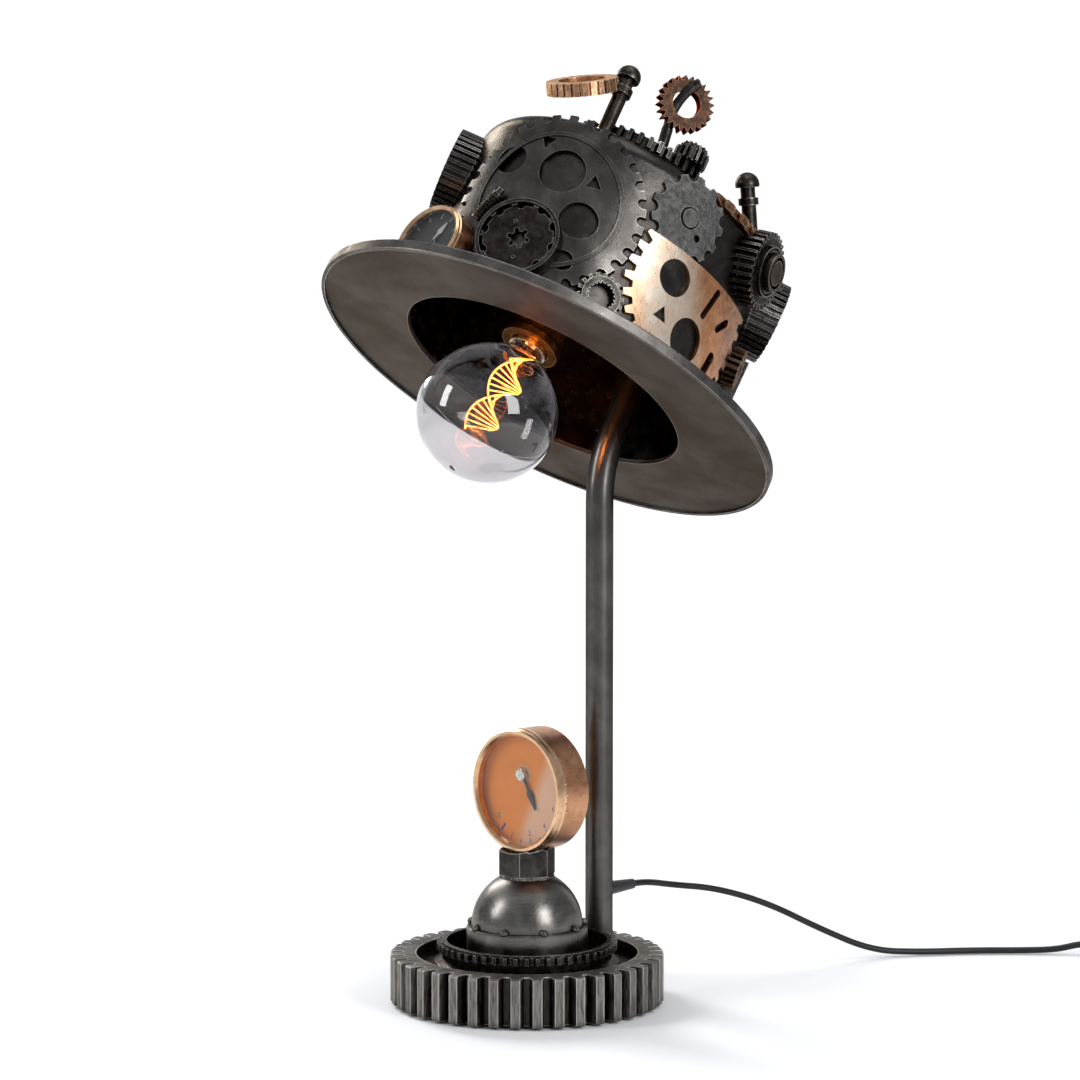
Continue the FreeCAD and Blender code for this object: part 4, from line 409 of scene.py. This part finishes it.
def coppers():
    """Copper, brass and the metals of the lamp holder."""
    return {
        "drum": brushed("brushed_copper", (0.40, 0.175, 0.085), (0.68, 0.36, 0.20), (0.23, 0.095, 0.05),
                        rough=(0.28, 0.42), tone=0.016, stretch=(1, 0.05, 1)),
        "bezel": brushed("polished_copper", (0.62, 0.33, 0.17), (0.88, 0.60, 0.38), (0.42, 0.20, 0.10),
                         rough=(0.16, 0.30), tone=0.010),
        "chain": steel("chain_copper", (0.13, 0.065, 0.036), (0.46, 0.26, 0.15), (0.80, 0.56, 0.37), patch=0.005,
                       rough=(0.22, 0.4), wear_share=0.7, shade_reach=0.002, relief=0.00008, rim=(0.7, 0.5, 0.35)),
        "top_ring": steel("ring_copper", (0.30, 0.135, 0.065), (0.80, 0.50, 0.31), (0.90, 0.68, 0.48),
                          patch=0.009, rough=(0.22, 0.4), wear_share=0.8, rust=0.5, relief=0.00012,
                          rim=(0.8, 0.6, 0.42)),
        "hooked": steel("hook_ring_metal", (0.020, 0.015, 0.012), (0.075, 0.040, 0.027), (0.42, 0.21, 0.12),
                        patch=0.006, rough=(0.25, 0.45), wear=0.0004, wear_share=0.5, shade_reach=0.002, rust=0.35,
                        relief=0.00015, rim=(0.4, 0.28, 0.20)),
        "holder": steel("holder_metal", (0.045, 0.034, 0.024), (0.12, 0.088, 0.058), (0.4, 0.3, 0.2),
                        patch=0.012, rough=(0.3, 0.45), wear_share=0.5, rim=(0.3, 0.25, 0.2)),
        "cap": steel("cap_metal", (0.22, 0.19, 0.14), (0.42, 0.37, 0.27), (0.6, 0.55, 0.42), patch=0.01,
                     rough=(0.2, 0.35)),
        "hub": steel("hub_metal", (0.42, 0.41, 0.38), (0.72, 0.70, 0.66), (0.85, 0.84, 0.8), patch=0.004,
                     rough=(0.2, 0.35)),
        "pins": steel("pin_plating", (0.62, 0.62, 0.64), (0.78, 0.78, 0.8), (0.9, 0.9, 0.9), patch=0.006,
                      rough=(0.1, 0.2)),
        "brass": steel("brass_block", (0.40, 0.28, 0.12), (0.62, 0.46, 0.22), (0.8, 0.66, 0.4), patch=0.01)}


def soft_and_clear():
    """Felt, plastics, ceramic, paint, glass and the glowing wire."""
    return {
        "felt": moulded("green_black_felt", (0.018, 0.018, 0.017), rough=0.9, grain=0.0008, relief=0.0004,
                        specular=0.1),
        "plastic": moulded("black_plastic", (0.012, 0.012, 0.013)),
        "rocker": moulded("rocker_plastic", (0.02, 0.02, 0.021), rough=0.3),
        "ceramic": moulded("glazed_ceramic", (0.72, 0.68, 0.60), rough=0.2),
        "black_paint": painted("needle_black", (0.035, 0.03, 0.03)),
        "pale_paint": painted("needle_pale", (0.62, 0.60, 0.54)),
        "pane": glass("window_glass", (0.97, 0.98, 0.98), index=1.3, rough=0.02),
        "smoked": glass("smoked_glass", (0.76, 0.74, 0.75), index=1.46, rough=0.0),
        "wire": glowing_wire(),
        "orange": orange_card(),
        "dark": dark_card()}


FINISHED_WITH = {
    "felt": ("base_felt",),
    "base_gear": ("base_gear",),
    "dome": ("dome_skirt", "dome_shell"),
    "weld": ("weld_beads",),
    "stem": ("stem_tube",),
    "gun": ("holder_arm",),
    "brim": ("hat_brim",),
    "band": ("brim_band",),
    "crown": ("hat_crown",),
    "clutch": ("clutch_plate", "rear_plates"),
    "copper_plate": ("copper_gear_plate",),
    "sprocket": ("small_sprocket",),
    "dogs": ("dog_tooth_ring",),
    "teeth": ("synchro_ring", "freewheel_ring", "thread_stud", "timing_wheels", "top_flat_gear", "pinion"),
    "black": ("base_plate", "gauge_nut", "side_gear", "back_blades", "hook_rod"),
    "oily": ("freewheel_gear", "side_hub", "dome_head_bolts"),
    "rusty": ("rust_pinion",),
    "drum": ("gauge_case", "hat_gauge_case"),
    "bezel": ("gauge_bezel", "hat_gauge_bezel"),
    "chain": ("copper_chain",),
    "top_ring": ("copper_ring_gear",),
    "hooked": ("hook_ring_gear",),
    "holder": ("holder_shell",),
    "cap": ("bulb_cap",),
    "hub": ("gauge_hub",),
    "brass": ("gauge_movement",),
    "pins": ("plug_pins",),
    "orange": ("gauge_dial",),
    "dark": ("hat_gauge_dial",),
    "black_paint": ("gauge_needle",),
    "pale_paint": ("hat_gauge_needle",),
    "pane": ("gauge_glass", "hat_gauge_glass"),
    "smoked": ("bulb_glass",),
    "wire": ("bulb_filament",),
    "ceramic": ("holder_contacts",),
    "plastic": ("strain_relief", "inner_cable", "switch_base", "switch_cover", "plug_body"),
    "rocker": ("switch_rocker",)}


def dress(obj, material):
    obj.data.materials.clear()
    obj.data.materials.append(material)


def dress_nodes():
    """Finish every CAD node that stays in view."""
    made = {"base_gear": base_gear_steel(), "dome": dome_steel(), "copper_plate": copper_with_painted_light()}
    for group in (structure_steels(), gear_steels(), coppers(), soft_and_clear()):
        made.update(group)
    for finish, nodes in FINISHED_WITH.items():
        for node in nodes:
            dress(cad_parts[node], made[finish])


# Extra pieces


def piece(name, data, material, place=None):
    """A new piece of the lamp, finished and riding on its body."""
    obj = bpy.data.objects.new(name, data)
    bpy.context.scene.collection.objects.link(obj)
    if place is not None:
        obj.matrix_world = place
    dress(obj, material)
    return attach(obj, BODY)


def facing(point, normal, up):
    """A place whose Z looks along the normal and whose Y is as near up as can be."""
    out = normal.normalized()
    across = up.cross(out).normalized()
    turned = Matrix((across, out.cross(across), out)).transposed().to_4x4()
    return Matrix.Translation(point) @ turned


def mesh_from(name, corners, faces, smooth=False):
    mesh = bpy.data.meshes.new(name)
    mesh.from_pydata(corners, [], faces)
    mesh.validate()
    if smooth:
        mesh.shade_smooth()
    return mesh


# Printed dials

PRINT_THICK = 0.00012
DIAL_RIM = 0.0368
HAT_DIAL_RIM = 0.0215
HAT_PRINT_LIFT = 0.0022


def on_dial(angle, radius):
    """A point on a dial, by its angle in degrees from straight down."""
    turn = math.radians(angle)
    return Vector((math.sin(turn), -math.cos(turn), 0)) * radius


def ticks_mesh(name, radius, marks):
    """Printed ticks on a dial: each has an angle from straight down, a length and a width."""
    corners = []
    faces = []
    for angle, length, width in marks:
        out = on_dial(angle, 1.0)
        side = Vector((-out.y, out.x, 0)) * (width / 2)
        first = len(corners)
        for level in (0.0, PRINT_THICK):
            for near, sign in ((radius - length, -1), (radius - length, 1), (radius, 1), (radius, -1)):
                corners.append(out * near + side * sign + UP * level)
        for quad in ((4, 5, 6, 7), (0, 1, 5, 4), (1, 2, 6, 5), (2, 3, 7, 6), (3, 0, 4, 7)):
            faces.append([first + corner for corner in quad])
    return mesh_from(name, corners, faces)


def number(text, angle, radius, size, material, dial):
    """A plain number on the large dial."""
    name = "dial_number_" + text
    curve = bpy.data.curves.new(name, "FONT")
    curve.body = text
    curve.size = size
    curve.extrude = 0.00005
    curve.align_x = "CENTER"
    curve.align_y = "CENTER"
    return piece(name, curve, material, place=dial @ Matrix.Translation(on_dial(angle, radius)))


def hub_halo(front):
    """The pale disc printed round the pointer's hub."""
    disc = bmesh.new()
    bmesh.ops.create_circle(disc, cap_ends=True, radius=0.0062, segments=40)
    mesh = bpy.data.meshes.new("hub_halo")
    disc.to_mesh(mesh)
    disc.free()
    hub = middle("gauge_hub")
    place = facing(Vector((hub.x, front - 0.0001, hub.z)), FORWARD, UP)
    piece("hub_halo", mesh, painted("pale_print", (0.90, 0.50, 0.26)), place=place)


def main_dial():
    """Ticks and plain numbers along the lower right of the orange card."""
    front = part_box("gauge_dial")[0].y
    dial = facing(Vector((0, front - 0.00002, middle("gauge_dial").z)), FORWARD, UP)
    violet = painted("violet_print", (0.10, 0.06, 0.30))
    green = painted("green_print", (0.03, 0.22, 0.05))
    marks = [(-36.0, 0.0062, 0.0016)]
    for step in range(9):
        marks.append((-20.0 + 15.0 * step, 0.0030 if step % 2 else 0.0042, 0.0006))
    piece("dial_ticks", ticks_mesh("dial_ticks", DIAL_RIM, marks), violet, place=dial)
    for text, angle in (("2", 10.0), ("4", 40.0), ("6", 70.0)):
        number(text, angle, 0.0295, 0.0052, violet, dial)
    number("0", -50.0, 0.0315, 0.0062, green, dial)
    hub_halo(front)


def hat_dial():
    """Pale ticks round the small gauge's card, which leans as the hat does."""
    lean = Matrix.Rotation(-HAT_TILT, 3, "X")
    outward = lean @ FORWARD
    dial = facing(middle("hat_gauge_dial") + outward * HAT_PRINT_LIFT, outward, lean @ UP)
    marks = [(30.0 + 30.0 * step, 0.0036, 0.0007) for step in range(11)]
    pale = painted("pale_marks", (0.55, 0.53, 0.48))
    piece("hat_dial_ticks", ticks_mesh("hat_dial_ticks", HAT_DIAL_RIM, marks), pale, place=dial)


# Braze round the large gauge

BRAZE_SEED = 0.4
BRAZE_SPOTS = (
    (-93, 1.7), (-86, 2.1), (-80, 1.3), (-70, 1.1), (2, 1.5), (-6, 1.2), (-14, 1.7), (12, 0.9), (-101, 1.0))


def blob_mesh(name, spots):
    """Small lumps of braze, each a squashed uneven ball with a centre and a size."""
    whole = bmesh.new()
    for index, (centre, size) in enumerate(spots):
        turn = Matrix.Rotation(BRAZE_SEED + index * 1.7, 4, "Z") @ Matrix.Rotation(index * 0.9, 4, "X")
        squash = Matrix.Diagonal((size, size * 0.75, size * 0.6, 1.0))
        ball = bmesh.ops.create_icosphere(whole, subdivisions=3, radius=1.0)
        for vertex in ball["verts"]:
            wave = math.sin(vertex.co.x * 5 + BRAZE_SEED) * math.cos(vertex.co.y * 4 + index)
            vertex.co = Matrix.Translation(centre) @ turn @ squash @ (vertex.co * (1 + 0.16 * wave))
    mesh = bpy.data.meshes.new(name)
    whole.to_mesh(mesh)
    whole.free()
    mesh.shade_smooth()
    return mesh


def gauge_braze(material):
    """Braze that ran out where the gauge was fixed: under the bezel and behind its right edge."""
    low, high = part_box("gauge_bezel")
    centre = (low + high) / 2
    radius = (high.x - low.x) / 2 - 0.0004
    spots = []
    for angle, size in BRAZE_SPOTS:
        turn = math.radians(angle)
        spot = Vector((radius * math.cos(turn), high.y + 0.0001, centre.z + radius * math.sin(turn)))
        spots.append((spot, size * MM))
    piece("gauge_braze", blob_mesh("gauge_braze", spots), material)


# The lead, in millimetres

RUN_A = (
    (0.0, 103.5, 66.6), (0.0, 116.0, 66.6), (4.0, 140.0, 61.5), (16.0, 172.0, 56.5), (34.0, 207.0, 43.5),
    (54.0, 243.0, 22.0), (74.0, 276.0, 4.8), (95.0, 304.0, 2.75), (118.0, 335.0, 2.75), (143.0, 360.0, 2.75),
    (162.0, 377.0, 3.6), (176.0, 390.1, 8.5), (188.8, 402.1, 8.5))
SWITCH_WAY = Vector((16.0, 15.0, 0.0)).normalized()
SWITCH_LONG = 62.0
LEAD = 5.4
COIL_INNER = 25.0
COIL_PITCH = 6.0
COIL_DRAWN_IN = 0.96
HALF_TURNS = 6
TURN_STEPS = 12
COIL_TAIL = 20.0
TIE_HALF = 3.0
TIE_CORNER = 2.6
TIE_INSIDE = 0.9


def run_b():
    """From the switch to the coil's start."""
    end = Vector(RUN_A[-1]) + SWITCH_WAY * SWITCH_LONG
    return [end, end + SWITCH_WAY * 9.0, end + Vector((14.5, 16.5, -4.3)), end + Vector((19.0, 30.0, -5.75)),
            end + Vector((19.0, 41.0, -5.75))]


def coil_plan():
    """The radius and the climb of each half turn: in on the table, up one layer and out again."""
    inward = [COIL_INNER + COIL_PITCH / 2 * turn for turn in range(HALF_TURNS)]
    plan = [(radius, 0.0) for radius in reversed(inward)]
    plan.append((COIL_INNER + COIL_PITCH / 2 - COIL_PITCH * COIL_DRAWN_IN, COIL_PITCH))
    plan.extend((radius, 0.0) for radius in inward)
    return plan


def coil_points():
    way = Vector((0.0, 1.0, 0.0))
    point = run_b()[-1] + way * LEAD
    wide = 1 / math.cos(math.pi / TURN_STEPS / 2)
    points = []
    for radius, climb in coil_plan():
        side = Vector((way.y, -way.x, 0.0))
        centre = point + side * radius
        for step in range(TURN_STEPS):
            share = (step + 0.5) / TURN_STEPS
            angle = math.pi * share
            out = way * math.sin(angle) - side * math.cos(angle)
            points.append(centre + out * radius * wide + UP * (climb * share))
        point = point + side * (2 * radius) + UP * climb
        way = -way
    points.append(point)
    points.append(point + way * COIL_TAIL)
    return points


def lead_section():
    """The section of the twin lead: two round cores side by side, run together."""
    half = LEAD / 2 * MM
    count = 32
    curve = bpy.data.curves.new("lead_section", "CURVE")
    curve.dimensions = "2D"
    spline = curve.splines.new("POLY")
    spline.points.add(count - 1)
    for index in range(count):
        angle = 2 * math.pi * index / count
        waist = 0.80 + 0.12 * abs(math.cos(angle)) ** 0.8
        spline.points[index].co = (half * math.cos(angle), half * waist * math.sin(angle), 0, 1)
    spline.use_cyclic_u = True
    return bpy.data.objects.new("lead_section", curve)


def lead_curve(name, points, section, material, replaced):
    curve = bpy.data.curves.new(name, "CURVE")
    curve.dimensions = "3D"
    curve.bevel_mode = "OBJECT"
    curve.bevel_object = section
    curve.twist_mode = "Z_UP"
    curve.use_fill_caps = True
    curve.resolution_u = 10
    spline = curve.splines.new("NURBS")
    spline.points.add(len(points) - 1)
    for knot, point in zip(spline.points, points):
        knot.co = (*(Vector(point) * MM), 1.0)
    spline.order_u = 3
    spline.use_endpoint_u = True
    obj = piece(name, curve, material)
    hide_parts(*replaced)
    return obj


def rounded_outline(left, right, bottom, top):
    """A rectangle with round corners, seven points to a corner."""
    arcs = (
        (right - TIE_CORNER, top - TIE_CORNER, 0), (left + TIE_CORNER, top - TIE_CORNER, 90),
        (left + TIE_CORNER, bottom + TIE_CORNER, 180), (right - TIE_CORNER, bottom + TIE_CORNER, 270))
    outline = []
    for across, up, start in arcs:
        for step in range(7):
            angle = math.radians(start + 15 * step)
            outline.append((across + TIE_CORNER * math.cos(angle), up + TIE_CORNER * math.sin(angle)))
    return outline


def coil_tie(material):
    """A strap round the coil's turns, on the side away from the plug."""
    outer = COIL_INNER + COIL_PITCH / 2 * (HALF_TURNS - 1)
    centre = run_b()[-1] + Vector((outer, LEAD, 0))
    near = COIL_INNER - COIL_PITCH - LEAD / 2 - 0.4
    far = outer + COIL_PITCH / 2 + LEAD / 2 + 0.6
    bottom = 0.05
    top = coil_points()[-1].z + LEAD / 2 + 0.5
    outline = rounded_outline(near, far, bottom, top)
    count = len(outline)
    mid_across = (near + far) / 2
    mid_up = (bottom + top) / 2
    corners = []
    for side in (-TIE_HALF, TIE_HALF):
        for grow in (1.0, TIE_INSIDE):
            for across, up in outline:
                away = mid_across + (across - mid_across) * grow
                rise = mid_up + (up - mid_up) * grow
                corners.append(Vector((centre.x + side, centre.y + away, rise)) * MM)
    faces = []
    for index in range(count):
        after = (index + 1) % count
        for first, second in ((0, 2), (3, 1), (2, 3), (1, 0)):
            faces.append((first * count + index, first * count + after, second * count + after,
                          second * count + index))
    return piece("coil_tie", mesh_from("coil_tie", corners, faces, smooth=True), material)


def lead():
    rubber = moulded("lead_rubber", (0.008, 0.008, 0.008), rough=0.34, grain=0.0012, relief=0.00003,
                     specular=0.3)
    section = lead_section()
    near = lead_curve("lead_near", RUN_A, section, rubber, ["cord_run_a"])
    far = lead_curve("lead_far", run_b() + coil_points(), section, rubber, ["cord_run_b", "cord_coil"])
    strap = coil_tie(moulded("tie_strap", (0.010, 0.010, 0.010), rough=0.75, specular=0.2))


# Stage, light and camera

FLOOR_FRONT = -8.0
FLOOR_BACK = 6.0
FLOOR_HALF = 9.0
WALL_BEND = 1.5
WALL_TOP = 6.0
BEND_STEPS = 12
DIAGONAL = 0.7071


def sweep():
    """A pale floor that curves up into a backdrop, far enough behind for a camera to stand in front of it."""
    away = Vector((-DIAGONAL, DIAGONAL, 0))
    across = Vector((DIAGONAL, DIAGONAL, 0))
    profile = [(FLOOR_FRONT, 0.0), (FLOOR_BACK, 0.0)]
    for step in range(1, BEND_STEPS + 1):
        angle = math.radians(90 * step / BEND_STEPS)
        profile.append((FLOOR_BACK + WALL_BEND * math.sin(angle), WALL_BEND * (1 - math.cos(angle))))
    profile.append((FLOOR_BACK + WALL_BEND, WALL_TOP))
    corners = []
    for along, up in profile:
        for side in (-FLOOR_HALF, FLOOR_HALF):
            corners.append(away * along + across * side + UP * up)
    faces = [(2 * row, 2 * row + 1, 2 * row + 3, 2 * row + 2) for row in range(len(profile) - 1)]
    floor = bpy.data.objects.new("floor", mesh_from("floor", corners, faces, smooth=True))
    bpy.context.scene.collection.objects.link(floor)
    dress(floor, floor_paint(away))


def floor_paint(away):
    """Pale paint that glows a little far behind the lamp, where the lights don't reach."""
    look = Finish("pale_floor", metallic=0.0)
    look.paint(look.shader.inputs["Emission Color"], (0.97, 0.98, 1.0))
    look.feed(look.shader.inputs["Emission Strength"], look.span(look.height(away), 0.5, 2.2, 0.0, 0.58))
    tone = look.span(look.noise(look.place(), 0.4, detail=3), 0.3, 0.7)
    return look.finish(look.mix(tone, (0.87, 0.875, 0.885), (0.90, 0.905, 0.915)), 0.6)


def soft_light(name, spot, aim, size, power, colour=(1.0, 1.0, 1.0)):
    light = bpy.data.lights.new(name, "AREA")
    light.shape = "RECTANGLE"
    light.size, light.size_y = size
    light.energy = power
    light.color = colour
    lamp = bpy.data.objects.new(name, light)
    lamp.location = spot
    lamp.rotation_euler = (Vector(aim) - Vector(spot)).to_track_quat("-Z", "Y").to_euler()
    bpy.context.scene.collection.objects.link(lamp)
    return lamp


def bulb_glow():
    """A small hidden light beside the bulb's neck, for the glow that the wire throws into the hat."""
    wire = middle("bulb_filament")
    cap = middle("bulb_cap")
    spot = wire + (cap - wire) * 0.55 + Vector((0.03, -0.03, 0.0))
    glow = soft_light("bulb_glow", spot, cap + (cap - wire), (0.03, 0.03), 1.0, (1.0, 0.30, 0.04))
    glow.visible_camera = False


def lights():
    world = bpy.data.worlds.new("studio")
    world.use_nodes = True
    background = world.node_tree.nodes["Background"]
    background.inputs["Color"].default_value = (0.86, 0.90, 0.96, 1.0)
    background.inputs["Strength"].default_value = 0.40
    bpy.context.scene.world = world
    hat = (0.0, 0.0, 0.48)
    base = (0.0, 0.0, 0.12)
    soft_light("window_left", (-0.9, -1.5, 1.1), base, (0.4, 0.9), 13)
    soft_light("window_right", (1.7, -0.1, 0.9), hat, (0.6, 1.0), 17)
    soft_light("rim_left", (-1.4, 0.25, 1.15), hat, (0.4, 0.9), 20)
    soft_light("overhead", (0.1, 0.2, 1.7), base, (1.2, 1.2), 9)
    bulb_glow()


def camera():
    """The photo's viewpoint: a long lens, a little above the middle of the lamp."""
    view = bpy.data.cameras.new("camera")
    view.sensor_width = 36.0
    view.lens = 116.67
    view.clip_start = 0.05
    stand = bpy.data.objects.new("camera", view)
    stand.location = (1.6573, -1.6449, 0.5202)
    stand.rotation_euler = (math.radians(90 - 5.062), 0, CAMERA_HEADING)
    bpy.context.scene.collection.objects.link(stand)
    bpy.context.scene.camera = stand
    bpy.context.scene.view_settings.view_transform = "Standard"


lights()
camera()
lead()
sweep()
dress_nodes()
main_dial()
hat_dial()
gauge_braze(bpy.data.materials["polished_copper"])
